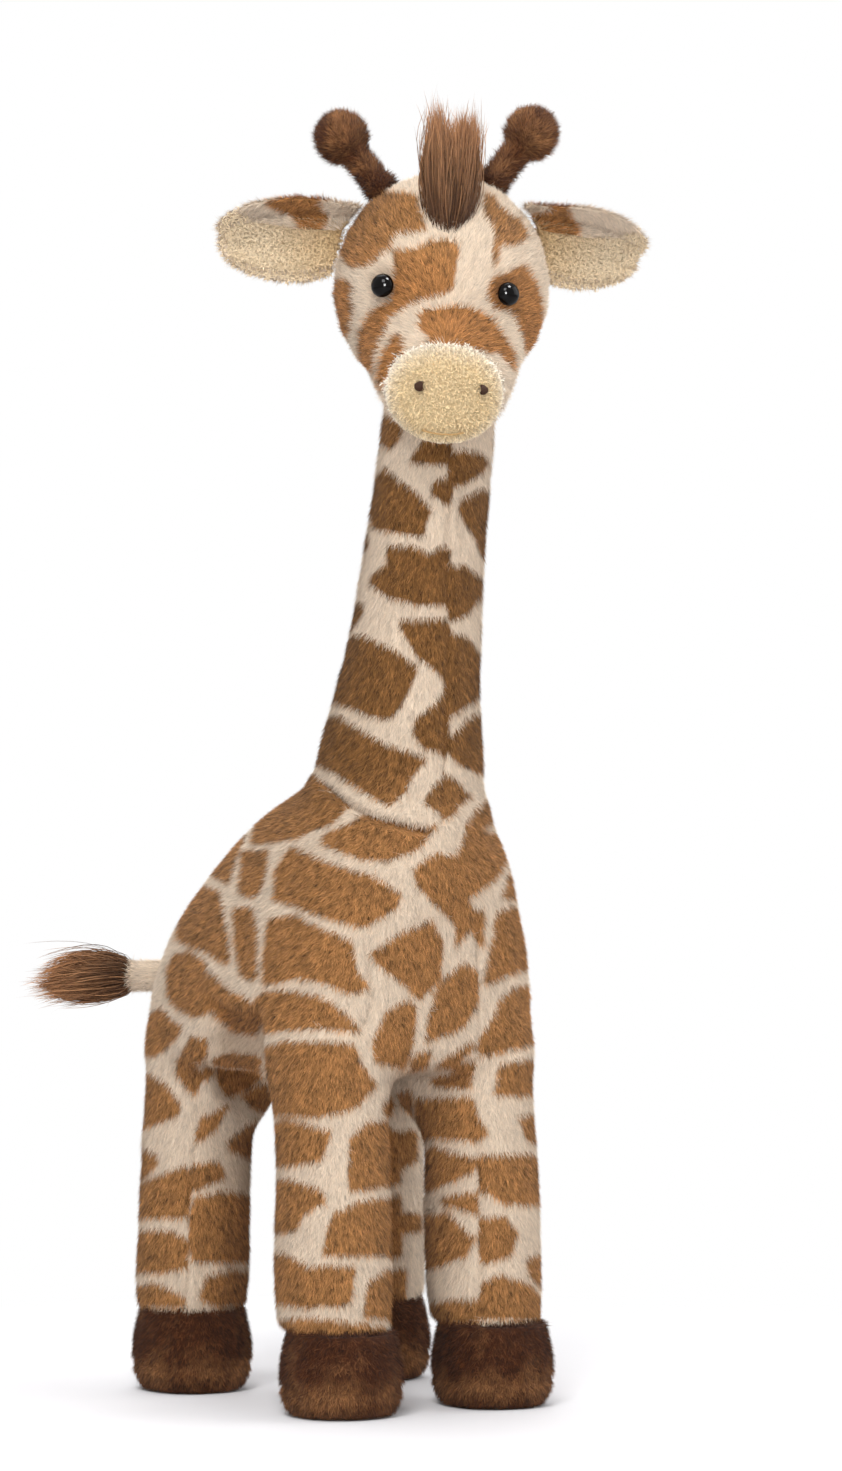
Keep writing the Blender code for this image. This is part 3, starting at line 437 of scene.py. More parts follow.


# The print: patches drawn as closed outlines in the picture, in pixels, and laid through
# the toy along the view. Faces that the picture shows edge-on get cells of their own.
neck_patches = (
    (376, 420, 398, 420, 406, 432, 401, 442, 394, 450, 388, 446, 376, 436),
    (426, 442, 450, 444, 450, 454, 447, 465, 432, 464, 414, 463, 417, 455, 423, 449),
    (450, 461, 458, 453, 476, 455, 483, 464, 476, 474, 461, 483, 451, 486, 447, 479, 447, 467),
    (432, 489, 439, 481, 448, 483, 450, 496, 447, 508, 438, 499, 431, 493),
    (389, 471, 395, 477, 417, 495, 430, 511, 425, 526, 423, 537, 403, 534, 380, 530, 374, 508, 380, 486),
    (458, 502, 476, 492, 500, 494, 500, 523, 485, 555, 477, 558, 472, 540, 461, 521, 457, 511),
    (392, 549, 411, 549, 429, 555, 442, 548, 448, 552, 447, 567, 461, 568, 476, 581, 473, 600, 461, 615,
     448, 621, 444, 605, 417, 605, 391, 597, 376, 586, 378, 578, 392, 568),
    (355, 533, 373, 533, 372, 549, 363, 559, 352, 545),
    (345, 600, 368, 608, 367, 617, 351, 636, 340, 622),
    (401, 623, 441, 621, 447, 636, 460, 639, 470, 652, 480, 670, 480, 685, 475, 696, 458, 708, 445, 717,
     444, 731, 448, 748, 441, 758, 436, 751, 422, 748, 413, 733, 416, 720, 432, 709, 442, 693, 441, 679,
     432, 668, 416, 655, 406, 635),
    (448, 740, 461, 723, 475, 714, 492, 734, 492, 752, 492, 775, 473, 773, 455, 764, 448, 756),
    (478, 629, 493, 626, 491, 643, 479, 646, 476, 638),
    (345, 645, 365, 639, 379, 645, 397, 655, 416, 670, 411, 685, 401, 705, 391, 720, 373, 717, 356, 708,
     328, 701, 330, 686, 336, 664),
    (320, 723, 344, 720, 359, 730, 382, 745, 403, 753, 423, 761, 414, 771, 407, 781, 403, 793, 389, 808,
     376, 800, 359, 787, 341, 775, 316, 761, 316, 746),
    (441, 774, 451, 783, 463, 797, 454, 808, 442, 822, 436, 814, 423, 806, 431, 789),
    (497, 795, 497, 811, 486, 822, 470, 833, 458, 844, 462, 825, 475, 808, 483, 797),
)
body_patches = (
    (314, 770, 323, 783, 339, 793, 352, 809, 334, 824, 301, 842, 259, 847, 265, 815, 290, 795, 304, 777),
    (370, 820, 385, 820, 401, 826, 433, 828, 427, 839, 411, 852, 387, 862, 360, 860, 328, 848, 326, 843,
     344, 831), (248, 834, 251, 838, 240, 866, 234, 886, 205, 870, 214, 845),
    (249, 856, 273, 856, 269, 882, 261, 899, 245, 895, 248, 874),
    (281, 874, 296, 851, 328, 866, 371, 879, 398, 895, 393, 909, 363, 927, 334, 921, 301, 907, 280, 902),
    (433, 856, 451, 859, 462, 834, 486, 836, 504, 850, 489, 879, 473, 890, 462, 898, 465, 909, 478, 911,
     478, 946, 473, 941, 465, 927, 451, 946, 454, 927, 438, 909, 414, 884, 411, 871),
    (505, 867, 522, 868, 524, 901, 497, 898, 500, 882),
    (492, 914, 505, 909, 526, 922, 530, 965, 505, 973, 481, 984, 484, 962, 489, 935),
    (240, 911, 256, 911, 261, 930, 261, 981, 248, 978, 241, 946),
    (196, 895, 210, 891, 224, 895, 233, 946, 232, 965, 208, 951, 183, 941, 188, 915),
    (275, 922, 301, 919, 328, 935, 350, 943, 352, 968, 363, 989, 350, 994, 328, 984, 301, 978, 269, 986,
     269, 957), (371, 954, 398, 935, 427, 921, 437, 941, 435, 978, 417, 1000, 398, 981, 379, 968),
    (181, 957, 194, 954, 210, 965, 213, 984, 213, 1008, 202, 1017, 184, 1010, 174, 997, 174, 973),
    (218, 986, 240, 1000, 237, 1016, 218, 1010),
    (165, 1010, 186, 1029, 170, 1048, 157, 1056, 140, 1048, 150, 1021),
    (256, 1005, 269, 994, 296, 993, 323, 1000, 344, 1016, 355, 1032, 318, 1029, 272, 1032, 262, 1014),
    (272, 1048, 291, 1044, 350, 1047, 355, 1064, 370, 1085, 355, 1105, 344, 1112, 320, 1118, 275, 1114),
    (403, 1002, 411, 1008, 409, 1040, 401, 1065, 371, 1061, 371, 1040, 384, 1013),
    (435, 984, 459, 965, 473, 973, 470, 1005, 459, 1026, 422, 1041, 427, 1016),
    (411, 1056, 427, 1051, 422, 1067, 409, 1072), (435, 1064, 465, 1044, 473, 1045, 441, 1069),
    (494, 1002, 510, 989, 538, 986, 542, 1037, 516, 1048, 476, 1056, 476, 1042, 489, 1021),
    (497, 1066, 545, 1058, 546, 1095, 494, 1096), (433, 1077, 451, 1061, 470, 1061, 470, 1088, 438, 1085),
    (197, 1037, 208, 1040, 208, 1075, 194, 1093, 181, 1075, 181, 1061),
    (217, 1058, 238, 1053, 262, 1056, 266, 1072, 246, 1087, 223, 1097, 214, 1082),
    (214, 975, 232, 991, 255, 1003, 264, 1020, 261, 1034, 238, 1031, 220, 1016, 211, 993),
    (149, 1072, 170, 1088, 181, 1104, 181, 1115, 146, 1130, 136, 1125, 138, 1075),
)
leg_patches = (
    (197, 1144, 205, 1117, 223, 1109, 215, 1127), (223, 1146, 243, 1125, 268, 1117, 268, 1159, 240, 1157),
    (240, 1095, 266, 1082, 270, 1112, 247, 1108), (132, 1144, 159, 1157, 161, 1165, 148, 1179, 128, 1182),
    (128, 1195, 164, 1178, 186, 1168, 191, 1184, 191, 1203, 184, 1218, 128, 1219),
    (194, 1168, 215, 1163, 221, 1178, 196, 1192, 191, 1184),
    (192, 1216, 199, 1200, 218, 1194, 260, 1200, 262, 1232, 262, 1262, 196, 1262, 191, 1245),
    (124, 1248, 134, 1232, 177, 1234, 186, 1245, 186, 1267, 164, 1273, 130, 1273, 122, 1261),
    (126, 1288, 161, 1286, 177, 1296, 186, 1305, 164, 1305, 126, 1302),
    (199, 1299, 205, 1280, 228, 1272, 262, 1277, 262, 1302, 212, 1305),
    (266, 1127, 291, 1123, 330, 1135, 320, 1162, 288, 1167, 270, 1155),
    (350, 1139, 365, 1125, 381, 1123, 395, 1133, 395, 1184, 349, 1192, 347, 1168),
    (268, 1178, 298, 1184, 320, 1192, 326, 1203, 304, 1216, 298, 1232, 268, 1233),
    (334, 1216, 355, 1206, 395, 1197, 398, 1257, 325, 1256, 328, 1235),
    (268, 1254, 291, 1257, 310, 1270, 352, 1269, 346, 1305, 304, 1308, 270, 1299),
    (361, 1318, 365, 1286, 381, 1273, 400, 1270, 400, 1321),
    (274, 1321, 317, 1321, 377, 1331, 387, 1340, 342, 1340, 276, 1338),
    (377, 1111, 385, 1096, 389, 1108, 384, 1117), (397, 1092, 414, 1092, 414, 1115, 400, 1108),
    (397, 1133, 409, 1133, 411, 1159, 397, 1171), (395, 1216, 414, 1216, 414, 1232, 398, 1235),
    (419, 1100, 471, 1100, 478, 1123, 487, 1136, 476, 1141, 422, 1138),
    (515, 1120, 543, 1114, 546, 1143, 523, 1143), (478, 1159, 546, 1157, 548, 1205, 502, 1205, 481, 1190),
    (420, 1154, 438, 1149, 476, 1162, 470, 1175, 432, 1192, 420, 1184),
    (446, 1200, 478, 1194, 479, 1216, 448, 1205),
    (424, 1216, 451, 1216, 473, 1241, 467, 1257, 432, 1270, 422, 1264),
    (481, 1221, 502, 1219, 513, 1235, 505, 1257, 487, 1264, 479, 1254),
    (523, 1261, 537, 1256, 556, 1277, 558, 1296, 540, 1291, 524, 1277),
    (484, 1286, 499, 1278, 521, 1286, 543, 1308, 548, 1322, 483, 1320),
    (428, 1305, 479, 1302, 479, 1322, 435, 1322),
)
sight = np.array(forward)
picture_scale = picture_width / 2 / (sensor / 2 / lens * picture_width / picture_height)
pixel = 0.43  # millimetres of cloth
edge_reach = 14  # pixels round a patch
print_depth, print_drag = 0.0022, 0.0016  # into the pile, and along its nap
upright, upright_blur = 0.74, 0.16  # how far a face that the picture shows edge-on points up or down
cell_size, cell_jitter, half_gap = 0.024, 0.36, 0.0022
cell_mix = np.array(
    ((12.9898, 39.3467, 73.1562), (78.233, 11.1352, 52.2358), (37.719, 83.1553, 9.1511)))
warmth_heights = (0.0, 0.24, 0.275, 0.4, 0.43, 0.465, 0.495)
warmth_levels = (0.5, 0.5, 0.0, 0.0, 1.0, 0.9, 0.25)


def in_picture(points):
    """Where points of the toy fall in the picture, in its pixels."""
    from_camera = points - np.array(camera_place)
    away = from_camera @ sight
    return np.stack((
        picture_width / 2 + picture_scale * (from_camera @ np.array(aside)) / away,
        picture_height / 2 - picture_scale * (from_camera @ np.array(upward)) / away), 1)


def gap_to_side(spots, start, side):
    """How far spots lie from one straight side of an outline."""
    share = np.clip(((spots - start) @ side) / (side @ side), 0, 1)
    return np.linalg.norm(spots - start - share[:, None] * side, axis=1)


def inside_patches(spots, patches):
    """How deep each spot lies in the nearest patch, in pixels: below zero outside them all."""
    edge = np.full(len(spots), -float(edge_reach))
    for numbers in patches:
        outline = np.array(numbers, float).reshape(-1, 2)
        low, high = outline.min(0) - edge_reach, outline.max(0) + edge_reach
        near = np.flatnonzero(((spots > low) & (spots < high)).all(1))
        if not len(near):
            continue
        spot = spots[near]
        gap = np.full(len(near), 1e9)
        inside = np.zeros(len(near), bool)
        for start, end in zip(outline, np.roll(outline, -1, 0)):
            side = end - start
            gap = np.minimum(gap, gap_to_side(spot, start, side))
            crosses = (start[1] > spot[:, 1]) != (end[1] > spot[:, 1])
            rise = side[1] if side[1] else 1e-9
            inside ^= crosses & (spot[:, 0] < start[0] + (spot[:, 1] - start[1]) / rise * side[0])
        edge[near] = np.maximum(edge[near], np.where(inside, gap, -gap))
    return edge


def cells_over(points):
    """How deep points lie in a jittered lattice of cells with 4.4 mm of cream between them."""
    lattice = np.floor(points / cell_size)
    near, second = np.full(len(points), 1e9), np.full(len(points), 1e9)
    for step in np.ndindex(3, 3, 3):
        cell = lattice + np.array(step) - 1
        middle = (cell + 0.5 + cell_jitter * np.sin(cell @ cell_mix * 3.7)) * cell_size
        reach = np.linalg.norm(points - middle, axis=1)
        second = np.minimum(np.maximum(near, reach), second)
        near = np.minimum(near, reach)
    return (second - near) / 2 - half_gap


def print_coat(mesh, patches, nap, grow=0.9, own_cells=False):
    """Store the print on a skin: its patches' edges in millimetres and the warmth of the brown.
    Edges waver by half a millimetre, and grow is how far the dye spreads into the cream."""
    points, normals = points_of(mesh), normals_of(mesh)
    across = normals - (normals @ sight)[:, None] * sight
    spots = in_picture(points - across * print_depth + nap(points, normals) * print_drag)
    wobble = noise_at(points, 160) * 1.6
    edge = inside_patches(spots, patches) * pixel + wobble * 0.35 + grow
    if own_cells:
        flat = np.clip((np.abs(normals[:, 2]) - upright) / upright_blur, 0, 1)
        edge = edge * (1 - flat) + cells_over(points) * 1000 * flat
    warmth = np.interp(points[:, 2], warmth_heights, warmth_levels)
    # The skin's tip value puts it at the hairs' root tone: painted shade under the pile.
    store(mesh, patch_edge=edge, warmth=warmth, tone=0.5, tip=0.3)


# The body's own shape: thighs swell out of the hips, and the cloth gathers at the tail's root.
leg_names = ("front_left", "front_right", "rear_left", "rear_right")
body_nodes = [
    name + layer for name in ("torso", "neck_lower", "neck_upper", *(leg + "_leg" for leg in leg_names))
    for layer in ("_cover", "_filling")]
tail_seat = Vector(joints["tail_swing"]["pos_m"])
tail_gather = (tail_seat, 0.0118)
thigh_swells = ((0.004, 0.007, 0.014, 0.0262), (0.009, 0.012, 0.004, 0.026))
thighs = []
for leg in leg_names:
    x, y, z = joints[leg + "_leg_swing"]["pos_m"]
    outward, back = math.copysign(1, x), math.copysign(1, y)
    for across, inward, down, radius in thigh_swells:
        thighs.append(((x - outward * across, y - back * inward, z - down), radius))
body_skin = cloth_over(
    "body_skin", body_nodes, voxel=0.002, smoothing=16, inset=0.0011, lumps=0.0008,
    swells=thighs + [tail_gather])

hip_low, hip_high, hip_passes = 0.112, 0.172, 30
clear_of_tail = 0.024
with shaping(body_skin) as shape:
    hips = [
        vertex for vertex in shape.verts
        if hip_low < vertex.co.z < hip_high and (vertex.co - tail_seat).length > clear_of_tail]
    for _ in range(hip_passes):
        bmesh.ops.smooth_vert(
            shape, verts=hips, factor=0.5, use_axis_x=True, use_axis_y=True, use_axis_z=True)
body_skin.update()
body_skin.shade_smooth()

belly_line, leg_bend, cuff = 0.141, 0.019, 0.0368
neck_start, neck_reach = 0.01, 0.05
torso_low, torso_high = 0.13, 0.3
foot = np.array(neck_foot)
along = np.array(Vector(joints["neck_twist"]["axis"]).normalized())
leg_place = {leg: np.array(joints[leg + "_leg_swing"]["pos_m"]) for leg in leg_names}


def up_the_neck(points):
    return (points - foot) @ along


def on_neck(points):
    way = up_the_neck(points)
    return (way > neck_start) & (np.linalg.norm(points - foot - way[:, None] * along, axis=1) < neck_reach)


def on_leg(points, leg):
    reach = [np.linalg.norm((points - leg_place[other])[:, :2], axis=1) for other in leg_names]
    nearest = np.argmin(reach, 0) == leg_names.index(leg)
    return nearest & (points[:, 2] < belly_line) & (points[:, 2] > cuff)


def on_torso(points):
    return ~on_neck(points) & (points[:, 2] >= belly_line)


def nap_of_body(points, normals):
    """Down the legs and neck, and back and down over the body."""
    height = points[:, 2]
    on_body = np.clip((height - torso_low) / 0.03, 0, 1) * np.clip((torso_high - height) / 0.04, 0, 1)
    return unit(np.stack((points[:, 0] * 0, 0.15 + 0.6 * on_body, np.full(len(points), -1.0)), 1))


# Seams pull the cloth in, the neck's foot folds a crease where it meets the shoulders, and a
# hollow lies behind each front thigh. All three are lines or outlines in the picture.
seams = (
    (450, 445, 449, 500, 447, 560, 449, 620, 446, 700, 444, 760, 442, 821),
    (478, 911, 477, 950, 480, 1000, 478, 1060), (478, 1140, 479, 1200, 480, 1260, 480, 1312),
    (210, 1000, 204, 1060, 196, 1130, 190, 1200, 186, 1300), (366, 945, 372, 1000, 362, 1030),
)
neck_crease = ((325, 784, 350, 805, 372, 816, 427, 831),)
thigh_hollow = (
    (206, 992, 232, 1000, 262, 1003, 267, 1030, 268, 1075, 270, 1112, 240, 1120, 214, 1100, 200, 1050),
)
bare_seam, bare_crease = 0.8, 2.2  # pixels without pile
seam_depth, crease_depth, hollow_depth = 0.0012, 0.0042, 0.006
seam_pull, crease_pull, seam_shadow, crease_shadow = 3.2, 4, 1.6, 3  # pixels


def gap_to_lines(points, normals, lines):
    """How far points that face the picture lie from sewn lines drawn in it, in pixels."""
    spots = in_picture(points)
    gap = np.full(len(points), 1e9)
    for numbers in lines:
        line = np.array(numbers, float).reshape(-1, 2)
        for start, end in zip(line, line[1:]):
            gap = np.minimum(gap, gap_to_side(spots, start, end - start))
    return np.where(normals @ sight < -0.25, gap, 1e9)


def off_seams(points, normals):
    off_crease = gap_to_lines(points, normals, neck_crease) > bare_crease
    return off_crease & (gap_to_lines(points, normals, seams) > bare_seam)


body_points, body_normals = points_of(body_skin), normals_of(body_skin)


def near_lines(lines, width):
    """One on a sewn line of the body, falling away over a width in pixels."""
    return np.exp(-(gap_to_lines(body_points, body_normals, lines) / width) ** 2)


right_points = np.stack((-np.abs(body_points[:, 0]), body_points[:, 1], body_points[:, 2]), 1)
right_normals = body_normals * np.where(body_points[:, :1] > 0, (-1, 1, 1), 1)
hollow = inside_patches(in_picture(right_points), thigh_hollow)
hollow = np.clip((hollow + 3) / 17, 0, 1) * np.clip(-(right_normals @ sight) * 4 - 0.3, 0, 1)
sunk = near_lines(seams, seam_pull) * seam_depth
sunk += near_lines(neck_crease, crease_pull) * crease_depth
sunk += hollow ** 2 * (3 - 2 * hollow) * hollow_depth
move_points(body_skin, body_points - body_normals * sunk[:, None])
print_coat(body_skin, neck_patches + body_patches + leg_patches, nap_of_body, own_cells=True)

# Shade between the legs, under the belly, in the thighs' hollows and along the sewn lines.
from_middle = body_points[:, :2] / np.linalg.norm(body_points[:, :2], axis=1)[:, None]
between_legs = np.clip(-(body_normals[:, :2] * from_middle).sum(1), 0, 1)
between_legs = between_legs * np.clip((0.165 - body_points[:, 2]) / 0.03, 0, 1)
below = np.clip(-body_normals[:, 2] - 0.1, 0, 1)
store(body_skin, shade=np.max((
    0.6 * between_legs, 0.6 * below, 0.55 * hollow, 0.25 * near_lines(seams, seam_shadow),
    0.5 * near_lines(neck_crease, crease_shadow)), 0))

hair_length, hair_width, hair_lift = 0.0036, 0.00034, math.radians(24)
body_fill, leg_fill = 0.85, 0.9
coat = dict(
    nap=nap_of_body, length=hair_length, width=hair_width, lift=hair_lift, material=plush, wanted=off_seams)
clothed(
    "torso", part_of("torso", body_skin, on_torso), "torso", "patterned_plush", count=190000, seed=1,
    stands_for=("torso_cover", "torso_filling"), fill=body_fill, **coat)
for number, leg in enumerate(leg_names):
    x, y, _ = leg_place[leg]
    bend = ("torso", leg + "_leg", (x, y, belly_line - 0.001), (x, y, belly_line - leg_bend))
    clothed(
        leg + "_leg", part_of(leg, body_skin, lambda points: on_leg(points, leg)), bend, "patterned_plush",
        count=48000, seed=10 + number, stands_for=(leg + "_leg_cover", leg + "_leg_filling"), fill=leg_fill,
        **coat)

# Each length of the neck: its two bodies, where along the neck it starts and ends its bend, where
# it is cut, its hairs, and the CAD solids that it stands for.
neck_fill = 0.9
neck_parts = (
    ("neck_base", "torso", "neck_lower", 0.012, 0.042, -1, 0.06, 30000,
     ("neck_lower_cover", "neck_lower_filling")),
    ("neck_middle", "neck_lower", "neck_upper", 0.078, 0.122, 0.06, 0.14, 30000, ("neck_upper_filling",)),
    ("neck_top", "neck_upper", "head", 0.158, 0.188, 0.14, 1, 22000, ("neck_upper_cover",)),
)
for number, (name, lower, upper, start, end, low, high, count, stands_for) in enumerate(neck_parts):
    def on_part(points):
        way = up_the_neck(points)
        return on_neck(points) & (way >= low) & (way < high)

    bend = (lower, upper, tuple(foot + along * start), tuple(foot + along * end))
    clothed(
        name, part_of(name, body_skin, on_part), bend, "patterned_plush", count=count, seed=20 + number,
        stands_for=stands_for, fill=neck_fill, **coat)


# Head. A stuffed ball of the same printed plush that runs out into a snout, sewn from cheeks, brow
# and chin and closed under the neck. Its pile is combed from the snout outwards, over the brow and
# down the cheeks. The last two patches lie on the ears.
head_patches = (
    (382, 196, 402, 196, 420, 198, 420, 208, 424, 225, 427, 230, 413, 234, 400, 233, 393, 242, 393, 248,
     387, 252, 382, 255, 375, 262, 368, 267, 360, 268, 352, 266, 347, 260, 342, 250, 343, 243, 347, 230,
     353, 218, 362, 208),
    (395, 252, 403, 252, 417, 249, 428, 243, 440, 240, 453, 241, 459, 248, 456, 257, 455, 265, 453, 277,
     452, 285, 443, 292, 433, 294, 420, 298, 410, 303, 402, 310, 393, 318, 388, 328, 383, 338, 380, 348,
     377, 358, 377, 372, 368, 368, 363, 355, 362, 342, 364, 330, 370, 318, 378, 308, 387, 303, 392, 298,
     394, 282, 396, 272),
    (400, 336, 404, 340, 403, 348, 405, 355, 397, 362, 392, 370, 388, 380, 388, 390, 382, 390, 380, 378,
     382, 365, 385, 355, 390, 347, 393, 338),
    (325, 281, 343, 280, 353, 282, 356, 288, 353, 298, 357, 305, 356, 313, 353, 322, 352, 330, 350, 342,
     351, 350, 343, 348, 330, 338, 322, 310),
    (483, 197, 492, 200, 498, 210, 508, 217, 517, 223, 523, 233, 523, 240, 515, 245, 505, 247, 497, 242,
     492, 233, 487, 223, 482, 218), (492, 240, 497, 242, 496, 256, 494, 268, 491, 262),
    (512, 268, 522, 266, 528, 273, 533, 285, 537, 298, 538, 317, 538, 333, 537, 348, 532, 358, 527, 368,
     522, 365, 524, 355, 520, 342, 517, 330, 512, 318, 505, 308, 497, 310, 490, 305, 485, 292, 487, 282,
     495, 275, 502, 275),
    (420, 313, 428, 308, 440, 306, 453, 304, 467, 306, 480, 312, 488, 318, 495, 328, 502, 338, 508, 348,
     512, 358, 511, 370, 505, 363, 497, 355, 485, 353, 475, 350, 463, 347, 453, 343, 437, 343, 427, 348,
     424, 343, 428, 338, 420, 330, 419, 322),
    (258, 192, 272, 186, 300, 184, 318, 194, 327, 206, 327, 218, 321, 230, 309, 235, 301, 227, 294, 218,
     289, 210, 278, 202),
    (533, 208, 548, 204, 562, 196, 569, 205, 573, 216, 578, 228, 573, 236, 562, 238, 552, 246, 545, 239,
     539, 229),
)
head_grow = 0.35
seam_sink = 0.0012
eye_seat, eye_clear = 0.0035, 0.0048  # the dome's widest part, and the pile's distance from it
socket_edge, socket_blur, socket_shade = 0.0045, 0.0032, 0.5


def tree_of(mesh):
    """A mesh as a tree that finds its nearest point, or where a ray meets it."""
    faces = [list(face.vertices) for face in mesh.polygons]
    return BVHTree.FromPolygons([vertex.co for vertex in mesh.vertices], faces)


def gap_to(tree, points):
    return np.array([tree.find_nearest(Vector(point))[3] for point in points])


head_skin = cloth_over(
    "head_skin", ("head_cover", "head_filling", "muzzle_cover"), voxel=0.0015, smoothing=4, inset=0.0016,
    lumps=0.0005)
muzzle_solid, head_solid = tree_of(cad_mesh("muzzle_cover")), tree_of(cad_mesh("head_cover"))
muzzle_low, muzzle_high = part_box("muzzle_cover")
muzzle_middle = np.array((muzzle_low + muzzle_high) / 2)


def muzzle_side(points):
    """Above zero on the muzzle's cap, below it on the head, in metres from the seam."""
    return gap_to(head_solid, points) - gap_to(muzzle_solid, points)


def nap_of_head(points, normals):
    away = points - muzzle_middle
    away[:, 2] = away[:, 2] * 0.7 - 0.012
    return unit(away)


def eye_frame(node):
    """The tip of an eye's dome and the way it looks, from its CAD solid."""
    points = points_of(cad_mesh(node))
    middle = points.mean(0)
    spread, ways = np.linalg.eigh(np.cov((points - middle).T))
    way = ways[:, 2] if spread[2] - spread[1] > spread[1] - spread[0] else ways[:, 0]
    way = way * np.sign(way @ (middle - points_of(cad_mesh("head_cover")).mean(0)))
    return middle + way * ((points - middle) @ way).max(), way


eyes = {side: eye_frame("eye_" + side) for side in ("left", "right")}


def from_eyes(points):
    """How far points lie from the middle of the nearer eye."""
    return np.min([np.linalg.norm(points - (tip - way * eye_seat), axis=1) for tip, way in eyes.values()], 0)


def away_from_eyes(points, normals):
    return from_eyes(points) > eye_clear


head_points = points_of(head_skin)
groove = np.exp(-(muzzle_side(head_points) / seam_sink) ** 2) * seam_sink
move_points(head_skin, head_points - normals_of(head_skin) * groove[:, None])
print_coat(head_skin, head_patches, nap_of_head, grow=head_grow)
in_socket = np.exp(-(np.maximum(from_eyes(head_points) - socket_edge, 0) / socket_blur) ** 2)
store(head_skin, shade=socket_shade * in_socket)
clothed(
    "head", part_of("head", head_skin, lambda points: muzzle_side(points) <= 0), "head", "patterned_plush",
    count=70000, seed=31, stands_for=("head_cover", "head_filling"), fill=0.95, nap=nap_of_head,
    length=hair_length, width=hair_width, lift=math.radians(26), material=plush, wanted=away_from_eyes)


# Muzzle. A cap of cream sherpa fleece over the end of the snout, stuffed with it and sewn to the
# head along one seam that sinks into the pile.
def dyed_pile(name, dark, light, roughness, grain_width, spread, fade=0.0, root=0.62, end=1.22):
    """A plain-dyed pile that runs from dark to light by its warmth, and by fade towards its tips."""
    finish, tree, shader = new_finish(name, roughness, 0.05)
    warmth = add_node(tree, "Attribute", {"attribute_name": "warmth"}).outputs["Fac"]
    tip = add_node(tree, "Attribute", {"attribute_name": "tip"}).outputs["Fac"]
    share = add_node(
        tree, "Math", {"operation": "MULTIPLY_ADD", "use_clamp": True}, _0=tip, _1=fade, _2=warmth)
    colour = add_node(tree, "Mix", {"data_type": "RGBA"}, _0=share.outputs[0], _6=dye(dark), _7=dye(light))
    tree.links.new(pile_tone(tree, colour.outputs[2], spread, root, end), shader.inputs["Base Color"])
    pile_bump(tree, shader, grain_width)
    return finish


def curled_pile(name, skin, count, seed, length, width, curl, wanted=None):
    """Small loose curls that stand all over a skin, each turned by curl or up to half as much more."""
    count = int(count * density)
    value_at, chance = roots_on(skin, count, seed)
    points, normals = value_at(points_of(skin)), unit(value_at(normals_of(skin)))
    values = {"warmth": value_at(read(skin, "warmth")), "tone": chance.random(count)}
    points, normals, values = only(wanted, points, normals, values)
    total = len(points)
    lie = combed(normals, np.zeros((total, 3)), chance, 1.0)
    across = np.cross(normals, lie)
    shares = np.linspace(0, 1, 6)
    angle = shares[None] * (curl + curl / 2 * chance.random(total)[:, None])
    radius = length * (0.28 + 0.2 * chance.random(total)[:, None])
    out = radius * np.sin(angle) + length * 0.3 * shares[None]
    over = radius * (1 - np.cos(angle))
    lines = (
        points[:, None] - normals[:, None] * root_depth + lie[:, None] * over[..., None] * 0.8
        + normals[:, None] * np.abs(out)[..., None] * 0.9
        + across[:, None] * (shares[None] * length * chance.normal(0, 0.35, (total, 1)))[..., None])
    widths = width * np.array((1, 1, 0.95, 0.85, 0.7, 0))
    return hair_mesh(name, lines, unit(across + lie * 0.3), widths, None, values)


# Sherpa fleece: knitted polyester whose pile is tumbled into curls of about 2.5 mm. It is matt and
# creamy, with painted shade at the curls' roots and a painted highlight at their tips; palest at
# the seam, it turns more yellow towards the middle of the cap.
fleece = dyed_pile("cream_curly_fleece", "#e4c686", "#fdf5e8", 0.9, 2.5, 0.22, root=0.78, end=1.12)
muzzle_mesh = part_of("muzzle", head_skin, lambda points: muzzle_side(points) > -0.0008)
store(muzzle_mesh, warmth=np.clip(1.0 - muzzle_side(points_of(muzzle_mesh)) * 55, 0.3, 0.95))
new_piece("muzzle", muzzle_mesh, fleece, "head", stands_for=("muzzle_cover",))
muzzle_curls = curled_pile(
    "muzzle_curls", muzzle_mesh, count=9000, seed=32, length=0.003, width=0.00045, curl=1.3)
new_piece("muzzle_curls", muzzle_curls, fleece, "head")


# Eyes. Safety eyes: 10 mm domes moulded of black acrylic with a thin turned rim. Each is pushed
# through the plush by its shank and held from behind by a washer.
dome_profile = (
    (0, 0), (0.0013, -0.00012), (0.0026, -0.0005), (0.0038, -0.0013), (0.0046, -0.0023), (0.005, -0.0034),
    (0.00495, -0.0042), (0.0042, -0.0048), (0, -0.005))

# Black acrylic, moulded and polished: deep and glossy, with faint smudges 3.3 mm across.
eye_black, tree, shader = new_finish("black_gloss_acrylic", 0.05, specular=0.12)
shader.inputs["IOR"].default_value = 1.49
smudge = add_node(tree, "TexNoise", Scale=per_metre(3.3), Detail=2.0).outputs["Fac"]
black = add_node(tree, "Mix", {"data_type": "RGBA"}, _0=smudge, _6=dye("#040303"), _7=dye("#0a0706"))
tree.links.new(black.outputs[2], shader.inputs["Base Color"])

for side, (tip, way) in eyes.items():
    mesh = bpy.data.meshes.new("eye")
    with shaping(mesh) as shape:
        line = [shape.verts.new((radius, 0, height)) for radius, height in dome_profile]
        edges = [shape.edges.new(pair) for pair in zip(line, line[1:])]
        bmesh.ops.spin(
            shape, geom=line + edges, axis=(0, 0, 1), cent=(0, 0, 0), steps=32, angle=math.tau,
            use_merge=True)
        bmesh.ops.remove_doubles(shape, verts=shape.verts, dist=1e-6)
        bmesh.ops.recalc_face_normals(shape, faces=shape.faces)
    mesh.transform(Matrix.Translation(tip) @ Vector(way).to_track_quat("Z", "Y").to_matrix().to_4x4())
    mesh.shade_smooth()
    store(mesh, tip=1.0, tone=0.5)
    dome = new_piece(
        "eye_dome_" + side, mesh, eye_black, "head",
        stands_for=("eye_" + side, "eye_washer_" + side))
    smooth = dome.modifiers.new("smooth", "SUBSURF")
    smooth.levels = smooth.render_levels = 1


